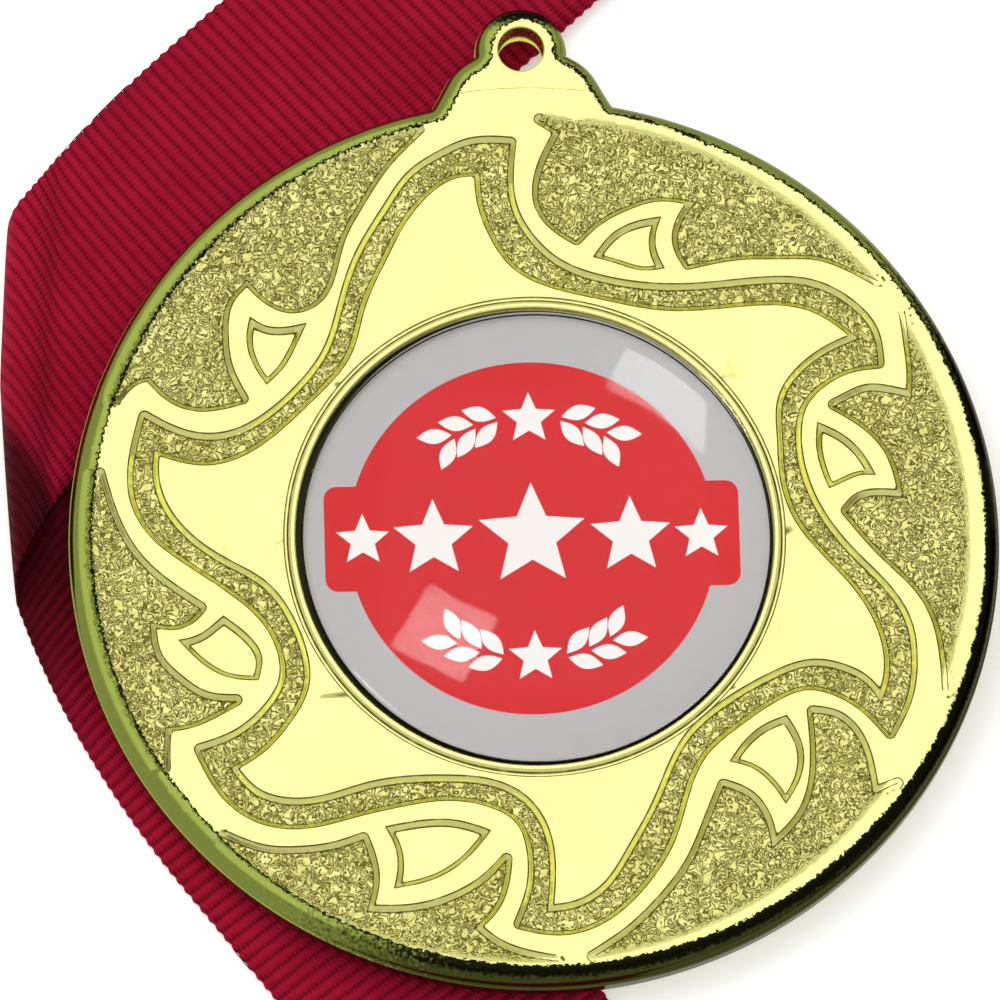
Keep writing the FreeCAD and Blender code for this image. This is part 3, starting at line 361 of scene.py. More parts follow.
class Face:
    """Outlines, regions and heights of the medal's face."""

    def __init__(self, step=0.22):
        self.star = closed_line(STAR, step)
        self.channel = closed_line(CHANNEL, step)
        self.pockets, self.hard = [], [self.star, self.channel]
        for flame in FLAME:
            stretches = [smooth_line(stretch, step) for stretch in flame_stretches(flame)]
            edge = np.concatenate(stretches + [np.array(flame[-1][-1:])])
            self.hard.append(edge)
            centre = np.array(TEXTURE_CENTRE)
            first, last = edge[0] - centre, edge[-1] - centre
            start, end = math.atan2(last[1], last[0]), math.atan2(first[1], first[0])
            end += 2 * math.pi if end < start else 0.0
            rim = arc_points(TEXTURE_CENTRE, TEXTURE_RADIUS, start, end, step)
            self.pockets.append(np.concatenate([edge, rim]))
        self.windows = []
        for corners in WINDOW:
            sides = [corners[0:4], corners[3:7], corners[6:9] + corners[0:1]]
            self.windows.append(np.concatenate([smooth_line(side, step) for side in sides]))
        self.outer = silhouette(step)
        self.hole = arc_points((0, HOLE_Y), HOLE_R, 0, 2 * math.pi, 0.2)
        dense = [closed_line(STAR, 0.05), closed_line(CHANNEL, 0.05)]
        dense += [smooth_line(stretch, 0.05) for flame in FLAME for stretch in flame_stretches(flame)]
        self.ground_tree = finder(np.concatenate(dense))
        self.window_tree = finder(np.concatenate([self.thick_line(w) for w in self.windows]))
        self.edge_tree = finder(self.thick_line(self.outer))
        self.hole_tree = finder(arc_points((0, HOLE_Y), HOLE_R, 0, 2 * math.pi, 0.04))

    @staticmethod
    def thick_line(outline):
        """The outline with four times the points."""
        following = np.roll(outline, -1, axis=0)
        return np.concatenate([outline + (following - outline) * k / 4 for k in range(4)])

    def region(self, points):
        """0 for polished plate, 1 for hammered ground, 2 for a window."""
        kind = np.zeros(len(points), int)
        radius = np.linalg.norm(points, axis=1)
        near = (radius > LIP) & (radius < RELIEF_LIMIT)
        p = points[near]
        ground = inside(p, self.channel) & ~inside(p, self.star)
        for pocket in self.pockets:
            ground |= inside(p, pocket)
        window = np.zeros(len(p), bool)
        for outline in self.windows:
            window |= inside(p, outline)
        kind[near] = np.where(ground, 1, np.where(window, 2, 0))
        return kind

    def heights(self, points, kind):
        """Height of the face at flat points whose regions are known."""
        edge = distances(self.edge_tree, points)
        y = points[:, 1]
        blend = np.clip((y - 26.0) / 1.8, 0, 1)
        width = EDGE_ROUND * (1 - blend) + LUG_ROUND * blend
        round_top = np.sqrt(np.clip(1 - (1 - np.clip(edge / width, 0, 1)) ** 2, 0, 1))
        hole = distances(self.hole_tree, points)
        top = TOP - 0.12 * np.clip(1 - hole / HOLE_ROUND, 0, 1)
        plate = EDGE_TOP + (top - EDGE_TOP) * round_top
        step_down = distances(self.ground_tree, points)
        drop = TOP - GROUND
        height = plate.copy()
        is_plate = kind == 0
        bevel = np.clip(step_down / BEVEL, 0, 1)
        ground = kind == 1
        rim = TEXTURE_RADIUS - np.linalg.norm(points - np.array(TEXTURE_CENTRE), axis=1)
        fade = np.clip(rim / 0.75, 0, 1)
        fade = fade * fade * (3 - 2 * fade)
        height[is_plate] -= (drop * (1 - bevel) * fade)[is_plate]
        height[ground] = (plate - drop * fade)[ground]
        window = kind == 2
        wall = np.clip(distances(self.window_tree, points) / BEVEL, 0, 1)
        height[window] -= (drop * wall)[window]
        return height

    def lines(self):
        """Polylines that the mesh follows: closed ones and open ones."""
        closed = [self.outer, self.hole, self.star, self.channel, *self.windows,
                  arc_points((0, 0), LIP, 0, 2 * math.pi, 0.35)]
        opened = list(self.hard[2:])
        for reach in (BEVEL - LINE_HALF, BEVEL, BEVEL + LINE_HALF, LINE_HALF):
            for number, line in enumerate(self.hard):
                opened += self.offset_towards(line, reach, self.ground_tree, 0, number < 2)
            for line in self.windows:
                opened += self.offset_towards(line, reach, self.window_tree, 2)
        for line in self.windows:
            opened += self.offset_towards(line, LINE_HALF, self.window_tree, 0)
        for number, line in enumerate(self.hard):
            opened += self.offset_towards(line, LINE_HALF, self.ground_tree, 1, number < 2)
        for share in (0.1, 0.28, 0.55, 1.0):
            opened += offset_line(self.outer, share * EDGE_ROUND, self.edge_tree)
        opened += [arc_points((0, HOLE_Y), HOLE_R + HOLE_ROUND, 0, 2 * math.pi - 0.01, 0.25)]
        for radius in (CREASE - CREASE_HALF, CREASE, CREASE + CREASE_HALF):
            half = math.asin(3.9 / radius)
            opened += [arc_points((0, 0), radius, math.pi / 2 - half, math.pi / 2 + half, 0.5)]
        return closed, opened

    def offset_towards(self, line, size, tree, wanted, closed=True):
        """Offset pieces on whichever side of a line has the wanted region."""
        best, score = [], -1.0
        for sign in (1, -1):
            pieces = offset_line(line, sign * size, tree, closed)
            if not pieces:
                continue
            share = (self.region(np.concatenate(pieces)) == wanted).mean()
            if share > score:
                best, score = pieces, share
        return best


class Casting:
    """The casting's mesh as it grows, with the values its materials read at each point, among them the masks
    of the painted shade lines and the painted reflection on the edge.
    """

    def __init__(self):
        self.points = np.empty((0, 3))
        self.values = {"line": np.empty(0), "edge": np.empty(0), "hammer": np.empty(0)}
        self.faces, self.slots = [], []

    def add(self, points, faces, slots, line=0.0, edge=2.0, hammer=0.0):
        """Add a surface; returns the number of its first point."""
        first = len(self.points)
        self.points = np.concatenate([self.points, points])
        for name, value in (("line", line), ("edge", edge), ("hammer", hammer)):
            grown = [self.values[name], np.broadcast_to(value, len(points))]
            self.values[name] = np.concatenate(grown)
        self.faces += [tuple(int(first + i) for i in face) for face in faces]
        self.slots += slots
        return first

    def add_walls(self, outline, rings, slot, flip, depth):
        """Walls down from an outline through (inset, height) rings; returns the last ring."""
        run = np.roll(outline, -1, axis=0) - np.roll(outline, 1, axis=0)
        length = np.maximum(np.linalg.norm(run, axis=1), 1e-9)
        normal = np.stack([-run[:, 1], run[:, 0]], 1) / length[:, None]
        count = len(outline)
        rows = [np.column_stack([outline + normal * inset, np.broadcast_to(z, count)])
                for inset, z in rings]
        quads = [(a, d, c, b) for a, b, c, d in ring_quads(len(rings), count)]
        quads = [quad[::-1] if flip else quad for quad in quads]
        first = self.add(np.concatenate(rows), quads, [slot] * len(quads), edge=depth)
        return [first + (len(rings) - 1) * count + k for k in range(count)]

    def build(self, name):
        """Mesh object with the stored values, joined where surfaces meet."""
        made = new_object(name, self.points, self.faces)
        made.data.polygons.foreach_set("material_index", self.slots)
        for value_name, values in self.values.items():
            stored = made.data.attributes.new(value_name, "FLOAT", "POINT")
            stored.data.foreach_set("value", values.astype(np.float32))
        made.modifiers.new("join_edges", "WELD").merge_threshold = 0.004 * MM
        made.modifiers.new("flat_plates", "WEIGHTED_NORMAL").weight = 50
        return made


def triangulate(points, edges, tolerance):
    """Triangles over flat points that keep the given edges."""
    made = delaunay_2d_cdt([Vector(p) for p in points], edges, [], 0, tolerance)
    return np.array([tuple(v) for v in made[0]]), np.array([f for f in made[2] if len(f) == 3])


def face_triangles(face):
    """Flat points and triangles of the face, finer where the relief and the hammered ground need it."""
    closed, opened = face.lines()
    points, edges = [], []
    first = 0
    for number, line in enumerate(closed + opened):
        count = len(line)
        points.append(np.asarray(line, float))
        edges += [(first + k, first + k + 1) for k in range(count - 1)]
        if number < len(closed):
            edges.append((first + count - 1, first))
        first += count
    taken = finder(np.concatenate(points))

    def lattice(step, limit):
        """Staggered grid of points that keeps clear of the lines."""
        across = np.arange(-25.2, 25.2, step)
        rows = np.arange(-25.2, 25.2, step * 0.866)
        grid = np.concatenate([np.stack([across + (k % 2) * step / 2, np.full(len(across), y)], 1)
                               for k, y in enumerate(rows)])
        radius = np.linalg.norm(grid, axis=1)
        grid = grid[(radius > LIP + 0.1) & (radius < TEXTURE_RADIUS)]
        return grid[distances(taken, grid) > limit]

    def from_relief(flat):
        return np.minimum(distances(face.ground_tree, flat), distances(face.window_tree, flat))

    ground, tips = lattice(0.3, 0.14), lattice(0.18, 0.08)
    ground = ground[face.region(ground) == 1]
    near = BEVEL + 0.25
    points += [ground[from_relief(ground) > near], tips[from_relief(tips) < near]]
    corners, faces = triangulate(np.concatenate(points), edges, 1e-5)
    middle = corners[faces].mean(1)
    good = inside(middle, face.outer) & ~inside(middle, face.hole)
    faces = faces[good & (np.linalg.norm(middle, axis=1) > LIP - 0.01)]
    used = np.unique(faces)
    renumber = np.full(len(corners), -1)
    renumber[used] = np.arange(len(used))
    return corners[used], renumber[faces]


def build_face():
    """The casting's mesh: face, rounded edge, back, lip and recess."""
    face = Face()
    corners, faces = face_triangles(face)
    kind = face.region(corners)
    # painted shade and reflection: the line values mark dark lines at the brow and foot of each step and
    # along the lug's crease
    line = np.zeros(len(corners))
    for tree, sunk_kind in ((face.ground_tree, 0), (face.window_tree, 2)):
        away = distances(tree, corners)
        brow = np.clip(1 - away / LINE_HALF, 0, 1)
        foot = np.clip(1 - np.abs(away - BEVEL) / LINE_HALF, 0, 1) * (kind == sunk_kind)
        line = np.maximum(line, np.maximum(brow, foot))
    radius = np.linalg.norm(corners, axis=1)
    crease = np.clip(1 - np.abs(radius - CREASE) / CREASE_HALF, 0, 1)
    line = np.maximum(line, 0.7 * crease * (corners[:, 1] > 24.0))
    # how deep inside the bright face each point lies, which sets where the painted reflection on the rounded
    # edge begins; the lug has its own narrower border
    edge = BRIGHT_RADIUS - np.linalg.norm(corners - np.array(BRIGHT_CENTRE), axis=1)
    lug_depth = distances(face.edge_tree, corners) - 0.88 - 0.18 * np.tanh(-corners[:, 0] / 2)
    edge = np.where(corners[:, 1] > 22.5, np.maximum(edge, lug_depth), edge)
    rim_gap = TEXTURE_RADIUS - np.linalg.norm(corners - np.array(TEXTURE_CENTRE), axis=1)
    slots = [int(k == 1) for k in face.region(corners[faces].mean(1))]
    casting = Casting()
    casting.add(np.column_stack([corners, face.heights(corners, kind)]), faces, slots, line, edge,
                np.clip(rim_gap / 0.8, 0, 1))

    def top_height(outline):
        return face.heights(outline, np.zeros(len(outline), int))

    rim = casting.add_walls(face.outer, [(0.0, top_height(face.outer)), (0.0, 0.55), (0.04, 0.3),
                                         (0.16, 0.12), (0.4, 0.02), (0.55, 0.0)], 2, True, -1.0)
    hole = casting.add_walls(face.hole, [(0.0, top_height(face.hole)), (0.0, 0.0)], 2, False, 1.0)
    loops = [(k, (k + 1) % len(rim)) for k in range(len(rim))]
    loops += [(len(rim) + k, len(rim) + (k + 1) % len(hole)) for k in range(len(hole))]
    back, triangles = triangulate(casting.points[rim + hole][:, :2], loops, 1e-6)
    middle = back[triangles].mean(1)
    keep = inside(middle, casting.points[rim][:, :2]) & ~inside(middle, face.hole)
    triangles = triangles[keep][:, ::-1]
    casting.add(np.column_stack([back, np.zeros(len(back))]), triangles, [0] * len(triangles))
    # lip and recess, with a groove round the lip and painted shade lines along the lip, and the recess
    # painted dark as shade from its wall down
    profile = [(LIP, TOP), (13.43, 2.27), (13.35, 2.25), (13.27, 2.31), (13.18, 2.42), (13.08, 2.46),
               (12.96, 2.48), (12.88, 2.45), (12.84, 2.38), (12.82, 1.9), (12.8, 1.2), (0.2, 1.2)]
    lip_painted_lines = [0.9, 0.3, 0.0, 0.9, 0.1] + [0.0] * 7
    steps, first_dark = 260, 9
    points, quads = lathe(profile, steps)
    slots = [3 if k // steps >= first_dark else 0 for k in range(len(quads))]
    casting.add(points, [quad[::-1] for quad in quads], slots, np.repeat(lip_painted_lines, steps))
    # painted reflection: the side wall is painted olive, and black toward the lower right and on top of the
    # lug, where it stands for dark surroundings reflected there
    x, y = casting.points[:, 0], casting.points[:, 1]
    tone_and_painted_reflection = np.clip(x * 0.75 - y * 0.66, -15, 15) / 15
    casting.values["tone_and_painted_reflection"] = np.maximum(tone_and_painted_reflection, np.clip(y - 28.6, -1, 1))
    return casting.build("medal_relief")


# ---------------------------------------------------------------- domed centre and its emblem
INSERT = 12.58
INSERT_CENTRE = (0.12, 0.12)
DOME_BASE, DOME_WALL, DOME_CROWN = 1.66, 0.55, 1.9


def build_dome():
    """Clear poured dome: rounded wall and a crown that flattens toward the middle."""
    profile = [(0.02, DOME_BASE), (INSERT - 0.06, DOME_BASE), (INSERT, DOME_BASE + 0.06)]
    for k in range(1, 7):
        profile.append((INSERT - 0.015 * (k / 6) ** 2, DOME_BASE + 0.06 + (DOME_WALL - 0.06) * k / 6))
    for k in range(1, 49):
        share = 1 - k / 48
        radius = (INSERT - 0.015) * math.sin(share * math.pi / 2) ** 0.9
        swell = (1 - (radius / (INSERT - 0.015)) ** 2.6) ** 0.78
        profile.append((max(radius, 0.02), DOME_BASE + DOME_WALL + (DOME_CROWN - DOME_WALL) * swell))
    points, faces = lathe(profile, 192, INSERT_CENTRE)
    return new_object("resin_dome", points, faces)


def star_points(centre, size):
    """Outline of a five-pointed star."""
    outline = []
    for k in range(10):
        radius = size if k % 2 == 0 else size * 0.45
        angle = math.pi / 2 + math.pi * k / 5
        outline.append((centre[0] + radius * math.cos(angle), centre[1] + radius * math.sin(angle)))
    return outline


def leaf_points(centre, length, width, direction):
    """Outline of a pointed leaf."""
    cos, sin = math.cos(direction), math.sin(direction)
    count = 8
    outline = []
    for side in (1, -1):
        for k in range(count):
            share = k / count if side == 1 else 1 - k / count
            along, across = (share - 0.5) * length, side * width / 2 * math.sin(math.pi * share)
            outline.append((centre[0] + along * cos - across * sin, centre[1] + along * sin + across * cos))
    return outline


def rounded_bar(centre, half, corner, count=6):
    """Outline of a bar with round corners."""
    outline = []
    for sx, sy, start in ((1, 1, 0.0), (-1, 1, 0.5), (-1, -1, 1.0), (1, -1, 1.5)):
        for k in range(count + 1):
            angle = math.pi * (start + 0.5 * k / count)
            outline.append((centre[0] + sx * (half[0] - corner) + corner * math.cos(angle),
                            centre[1] + sy * (half[1] - corner) + corner * math.sin(angle)))
    return outline


def build_label():
    """Printed disc: grey ground, red roundel with a wide bar, and white stars and laurel."""
    middle = (-0.24, -0.02)
    disc = INSERT - 0.05
    spray_radius = 8.2
    shapes = [(circle((0.0, 0.0), disc, 159), 0, 1.64), (circle(middle, 9.9, 127), 1, 1.643),
              (rounded_bar((middle[0], 0.08), (11.15, 2.95), 0.7), 1, 1.644)]
    white = [star_points((middle[0], 0.1), 3.0)]
    for side in (-1, 1):
        white.append(star_points((middle[0] + side * 5.3, 0.0), 2.25))
        white.append(star_points((middle[0] + side * 9.1, 0.0), 1.5))
    for up in (1, -1):
        for k in (-4, -3, -2, 2, 3, 4):
            angle = math.pi / 2 * up - up * k * 0.155
            place = (middle[0] + spray_radius * math.cos(angle),
                     spray_radius * math.sin(angle) - up * 1.4)
            heading = angle - math.pi / 2 * up * np.sign(k)
            for lean, reach in ((0.55, 0.62), (-0.55, -0.62)):
                out = (place[0] + reach * math.cos(angle), place[1] + reach * math.sin(angle))
                white.append(leaf_points(out, 1.9, 0.85, heading + lean * np.sign(k) * up))
        white.append(star_points((middle[0], up * 6.7), 1.5))
    # stars have ten corners and lie a little above the leaves
    shapes += [(outline, 2, 1.65 if len(outline) == 10 else 1.646) for outline in white]
    points, faces, slots = [], [], []
    for outline, slot, height in shapes:
        first = len(points)
        points += [(x, y, height) for x, y in outline]
        faces.append(tuple(range(first, len(points))))
        slots.append(slot)
    rim, quads = lathe([(disc, 1.64), (disc, 1.45), (0.02, 1.45)], 159)
    first = len(points)
    points += rim
    faces += [tuple(first + i for i in quad[::-1]) for quad in quads]
    slots += [0] * len(quads)
    points = [(x + INSERT_CENTRE[0], y + INSERT_CENTRE[1], z) for x, y, z in points]
    made = new_object("label_print", points, faces, smooth=False)
    made.data.polygons.foreach_set("material_index", slots)
    return made


# ---------------------------------------------------------------- ribbon
WIDTH, THICK, PITCH = 14.0, 0.45, 0.5
RIB, SCALLOP = 0.68, 0.06
HALF_TURN = math.pi * PITCH / 2
HANK_RUN, ENDS_RUN = 63.2, 15.6
# where the hank's runs end, and how the two ends come down from there into the clamp
HANK_END, ENDS_RAMP, FAR_DROP, NEAR_DROP = -28.2, 8.6, 0.375, 2.875
CLIMB = 3.0
STRIP_SCALE = 0.01
# the soft roll: where it starts in the row and along the strip, its depth and its section
FOLD_START, FOLD_AT, FOLD_REACH = (-25.8, 13.48), 28.37, 4.93
ROLL = [(1.3, 40.0), (0.3, 0.0), (1.9, -40.0), (1.716, -90.0), (1.05, -90.0), (0.4, 0.0)]


class Fold:
    """One turn of the ribbon: where its start line crosses the strip, the line's angle, and its section."""

    def __init__(self, at, angle, stretches, steps):
        self.at = at
        direction = math.radians(angle % 180.0)
        self.along = np.array([math.cos(direction), math.sin(direction)])
        self.across = np.array([math.sin(direction), -math.cos(direction)])
        u, x, z, heading = [0.0], [0.0], [0.0], [0.0]
        for length, turn in stretches:
            parts = max(1, int(abs(turn) / steps)) if turn else 1
            for _ in range(parts):
                half = turn / parts / 2
                heading.append(heading[-1] + 2 * half)
                middle = math.radians(heading[-1] - half)
                chord = length / parts
                u.append(u[-1] + chord)
                x.append(x[-1] + chord * math.cos(middle))
                z.append(z[-1] + chord * math.sin(middle))
        self.u, self.x, self.z, self.heading = (np.array(v) for v in (u, x, z, heading))

    def apply(self, points, flat):
        """Bend what lies past the start line on the flat strip round the section and back."""
        start = np.array([self.at, 0.0])
        past = (flat - start) @ self.across
        moved = points[:, :2] - start
        u, v = moved @ self.across, moved @ self.along
        end = self.u[-1]
        reach = np.clip(past, 0, end)
        turn = np.radians(np.interp(reach, self.u, self.heading))
        extra = np.where(past >= end, u - end, 0.0)
        x = np.interp(reach, self.u, self.x) + extra * np.cos(turn) - np.sin(turn) * points[:, 2]
        z = np.interp(reach, self.u, self.z) + extra * np.sin(turn) + np.cos(turn) * points[:, 2]
        bent = start + x[:, None] * self.across + v[:, None] * self.along
        return np.where((past > 0)[:, None], np.column_stack([bent, z]), points)


def hank_folds(at, sections):
    """Folds back and forth from a place along the strip, and where the strip ends."""
    folds = []
    for section in sections:
        folds.append(Fold(at, 90.0, section, 20))
        at += HANK_RUN + HALF_TURN
    return folds, at - HALF_TURN + ENDS_RUN


def ribbon_folds():
    """Folds of the far part and the near part, nearest first, and the length of each part."""
    down, up = [(HALF_TURN, -180.0)], [(HALF_TURN, 180.0)]
    slant = 42.75
    far = [Fold(FOLD_AT, slant, ROLL, 7)]
    at = FOLD_AT + FOLD_REACH / math.sin(math.radians(slant)) + 72.2
    far += [Fold(at, -48.75, down, 20), Fold(at + 34.05, 22.5, up, 20)]
    far_hank, far_end = hank_folds(at + 34.05 + 59.5, (down, up, down))
    at = 28.15
    near = [Fold(at, 40.0, down, 20), Fold(at + 26.15, -26.0, down, 20)]
    near_hank, near_end = hank_folds(at + 26.15 + 61.6, (up, down, up, down))
    return far + far_hank, near + near_hank, far_end, near_end


def flat_strip(far, near, far_end, near_end):
    """The ribbon laid flat: points on its ribbed edges and along each fold, and triangles."""
    points, edges = [], []

    def add_line(line):
        first_number = len(points)
        points.extend(map(tuple, line))
        edges.extend((first_number + k, first_number + k + 1) for k in range(len(line) - 1))

    def edge_at(s):
        return WIDTH / 2 - 0.08 + SCALLOP * np.cos(2 * math.pi * s / RIB)

    count = int((far_end + near_end) / (RIB / 4))
    along = np.linspace(-near_end, far_end, count)
    for side in (-1, 1):
        add_line([(s, side * edge_at(s)) for s in along])
    for s in (-near_end, far_end):
        add_line([(s, -edge_at(s)), (s, 0.0), (s, edge_at(s))])
    for fold, side in [(fold, 1) for fold in far] + [(fold, -1) for fold in near]:
        for u in fold.u:
            line = []
            rows = 15 if fold.u[-1] > 5 else 9
            for w in np.linspace(-WIDTH / 2 + 0.16, WIDTH / 2 - 0.16, rows):
                v = (w - u * fold.across[1]) / fold.along[1]
                s = fold.at + u * fold.across[0] + v * fold.along[0]
                line.append((side * s, w))
            add_line(line)
    taken = finder(np.array(points))
    spare = [(s, w) for s in np.arange(-near_end + 1, far_end, 2.4) for w in (-5.25, -1.75, 1.75, 5.25)]
    spare = np.array(spare)
    points += [tuple(p) for p in spare[distances(taken, spare) > 0.8]]
    flat, triangles = triangulate(points, edges, 1e-6)
    # slivers between the scallops and across the ends are left out
    middle = flat[triangles].mean(1)
    sides = flat[triangles] - flat[np.roll(triangles, 1, axis=1)]
    short = np.linalg.norm(sides, axis=2).max(1) < 6
    return flat, triangles[(np.abs(middle[:, 1]) < edge_at(middle[:, 0])) & short]


def build_ribbon():
    """The whole ribbon as one folded strip: two visible legs, the soft roll, the returns and the hank."""
    far, near, far_end, near_end = ribbon_folds()
    flat, triangles = flat_strip(far, near, far_end, near_end)
    mirrored = flat * np.array([-1.0, 1.0])
    faces_of_cloth = []
    for height in (THICK / 2, -THICK / 2):
        shape = np.column_stack([flat, np.full(len(flat), height)])
        shape[:, 2] *= 1 - 0.35 * np.clip((np.abs(shape[:, 1]) - WIDTH / 2 + 0.35) / 0.4, 0, 1)
        for fold in reversed(far):
            shape = fold.apply(shape, flat)
        shape[:, 0] *= -1
        for fold in reversed(near):
            shape = fold.apply(shape, mirrored)
        shape[:, 0] *= -1
        faces_of_cloth.append(shape)
    shape = np.concatenate(faces_of_cloth)
    # the strip's frame to the row's: the upper leg's middle line and its direction of travel
    heading = math.radians(222.0)
    cos, sin = math.cos(heading), math.sin(heading)
    x = FOLD_START[0] - FOLD_AT * cos + shape[:, 0] * cos - shape[:, 1] * sin
    y = FOLD_START[1] - FOLD_AT * sin + shape[:, 0] * sin + shape[:, 1] * cos
    z = shape[:, 2] + FLOOR + PITCH + THICK / 2
    # the ribbon stands a little on edge toward the roll, so it draws in there
    span = np.maximum(-19.0 - x, 0)
    x = x + (0.0235 - 0.008 * np.clip((y + 2) / 12, 0, 1)) * span * span
    # the near part climbs onto the far part's runs, and both ends come down into the clamp
    past = np.maximum((mirrored - np.array([near[0].at, 0.0])) @ near[0].across, 0)
    ahead = np.maximum(-(mirrored - np.array([near[1].at, 0.0])) @ near[1].across, 0)
    share = np.clip(past / np.maximum(past + ahead, 1e-6), 0, 1)
    z += np.tile(CLIMB * share * share * (3 - 2 * share), 2)
    drop = np.clip((HANK_END - y) / ENDS_RAMP, 0, 1)
    drop = drop * drop * (3 - 2 * drop)
    along = np.tile(flat[:, 0], 2)
    z = np.where(along > far[-1].at + 20, z - FAR_DROP * drop, z)
    z = np.where(-along > near[-1].at + 20, z - NEAR_DROP * drop, z)
    count = len(flat)
    faces = [tuple(t) for t in triangles] + [tuple(count + i for i in t[::-1]) for t in triangles]
    half_edges = {edge: True for a, b, c in triangles for edge in ((a, b), (b, c), (c, a))}
    faces += [(b, a, count + a, count + b) for a, b in half_edges if (b, a) not in half_edges]
    made = new_object("woven_ribbon", np.column_stack([x, y, z]), faces)
    strip = made.data.uv_layers.new(name="strip")
    corners = np.empty(len(made.data.loops), np.int64)
    made.data.loops.foreach_get("vertex_index", corners)
    whole = np.concatenate([flat, flat])[corners] * STRIP_SCALE
    strip.data.foreach_set("uv", whole.astype(np.float32).ravel())
    return made


# ---------------------------------------------------------------- materials
def new_material(name):
    material = bpy.data.materials.new(name)
    material.use_nodes = True
    return material


class Nodes:
    """Short way to add and join shader nodes."""

    def __init__(self, material):
        self.tree = material.node_tree
        self.shader = self.tree.nodes["Principled BSDF"]

    def add(self, kind, inputs=(), **settings):
        node = self.tree.nodes.new(kind)
        for name, value in settings.items():
            setattr(node, name, value)
        for name, value in dict(inputs).items():
            if hasattr(value, "links"):
                self.tree.links.new(value, node.inputs[name])
            else:
                node.inputs[name].default_value = value
        return node

    def math(self, operation, a, b=0.0):
        return self.add("ShaderNodeMath", {0: a, 1: b}, operation=operation).outputs[0]

    def smooth(self, value, low, high):
        node = self.add("ShaderNodeMapRange", {0: value, 1: low, 2: high}, interpolation_type="SMOOTHSTEP")
        return node.outputs[0]

    def mix(self, share, first, second):
        node = self.add("ShaderNodeMix", {0: share, 6: first, 7: second}, data_type="RGBA")
        return node.outputs[2]

    def noise(self, place, scale, detail=2.0, distortion=0.0):
        node = self.add("ShaderNodeTexNoise", {"Vector": place, "Scale": scale, "Detail": detail,
                                               "Distortion": distortion})
        return node.outputs["Fac"]

    def place(self, scale=(1000, 1000, 1000)):
        """Coordinates in millimetres on the object, stretched if asked."""
        here = self.add("ShaderNodeTexCoord").outputs["Object"]
        return self.add("ShaderNodeMapping", {"Vector": here, "Scale": scale}).outputs[0]

    def attribute(self, name):
        return self.add("ShaderNodeAttribute", attribute_name=name).outputs["Fac"]

    def bump(self, height, strength, distance):
        return self.add("ShaderNodeBump", {"Height": height, "Strength": strength,
                                           "Distance": distance}).outputs[0]

    def link(self, value, name):
        self.tree.links.new(value, self.shader.inputs[name])

    def fix(self, **values):
        for name, value in values.items():
            self.shader.inputs[name.replace("_", " ")].default_value = value


GOLD = (0.93, 0.92, 0.355, 1)
# dark olive for the furrows of the hammered ground, and for the dark lines of painted shade and reflection at
# each step
TONING_AND_PAINTED_SHADE = (0.115, 0.105, 0.014, 1)
# the olive and black below are the painted reflection on the rounded edge and side wall
OLIVE = (0.30, 0.36, 0.07, 1)
BLACK = (0.008, 0.008, 0.003, 1)


def gold_edge(nodes, colour):
    """Rounded edge painted darker as painted reflection: a ragged black line where the polished face stops,
    then olive, and black toward the lower right and on top of the lug.
    """
    place = nodes.place()
    ragged = nodes.math("SUBTRACT", nodes.noise(place, 5.0, 5.0), 0.5)
    depth = nodes.math("ADD", nodes.attribute("edge"), nodes.math("MULTIPLY", ragged, 0.6))
    black = nodes.mix(nodes.smooth(depth, 0.04, -0.04), colour, BLACK)
    tone_and_painted_reflection = nodes.math("ADD", nodes.attribute("tone_and_painted_reflection"), nodes.math("MULTIPLY", ragged, 1.2))
    outer = nodes.mix(nodes.smooth(depth, -0.5, -0.75), BLACK, (0.07, 0.08, 0.018, 1))
    wall = nodes.mix(nodes.smooth(tone_and_painted_reflection, 0.15, 0.75), OLIVE, outer)
    return nodes.mix(nodes.smooth(depth, -0.10, -0.20), black, wall)


def polished_gold():
    """Bright plated metal with fine scratches, and dark lines of painted shade and reflection at the foot and
    brow of each step.
    """
    material = new_material("polished_gold")
    nodes = Nodes(material)
    place = nodes.place()
    cloud = nodes.noise(place, 0.22, 3.0)
    colour = nodes.mix(nodes.smooth(cloud, 0.3, 0.7), GOLD, (0.90, 0.88, 0.33, 1))
    specks = nodes.smooth(nodes.noise(place, 2.2, 1.0), 0.74, 0.78)
    scratch = nodes.noise(nodes.place((2600, 260, 1000)), 1.0, 4.0, 0.4)
    marks = nodes.math("MULTIPLY", nodes.smooth(scratch, 0.70, 0.78), 0.35)
    marks = nodes.math("MAXIMUM", nodes.math("MULTIPLY", specks, 0.25), marks)
    colour = nodes.mix(marks, colour, (0.42, 0.38, 0.12, 1))
    # painted shade and reflection: dark lines at the brow and foot of each step, unevenly strong
    uneven = nodes.smooth(nodes.noise(place, 1.3, 3.0), 0.25, 0.6)
    strength = nodes.math("ADD", nodes.math("MULTIPLY", uneven, 0.35), 0.65)
    line = nodes.math("MULTIPLY", nodes.attribute("line"), strength)
    colour = nodes.mix(nodes.smooth(line, 0.15, 0.75), colour, TONING_AND_PAINTED_SHADE)
    nodes.link(gold_edge(nodes, colour), "Base Color")
    grain = nodes.noise(place, 9.0, 3.0)
    height = nodes.math("ADD", grain, nodes.math("MULTIPLY", scratch, 1.4))
    nodes.link(nodes.bump(height, 0.05, 0.00003), "Normal")
    nodes.link(nodes.add("ShaderNodeMapRange", {0: cloud, 3: 0.17, 4: 0.27}).outputs[0], "Roughness")
    nodes.fix(Metallic=1.0)
    return material


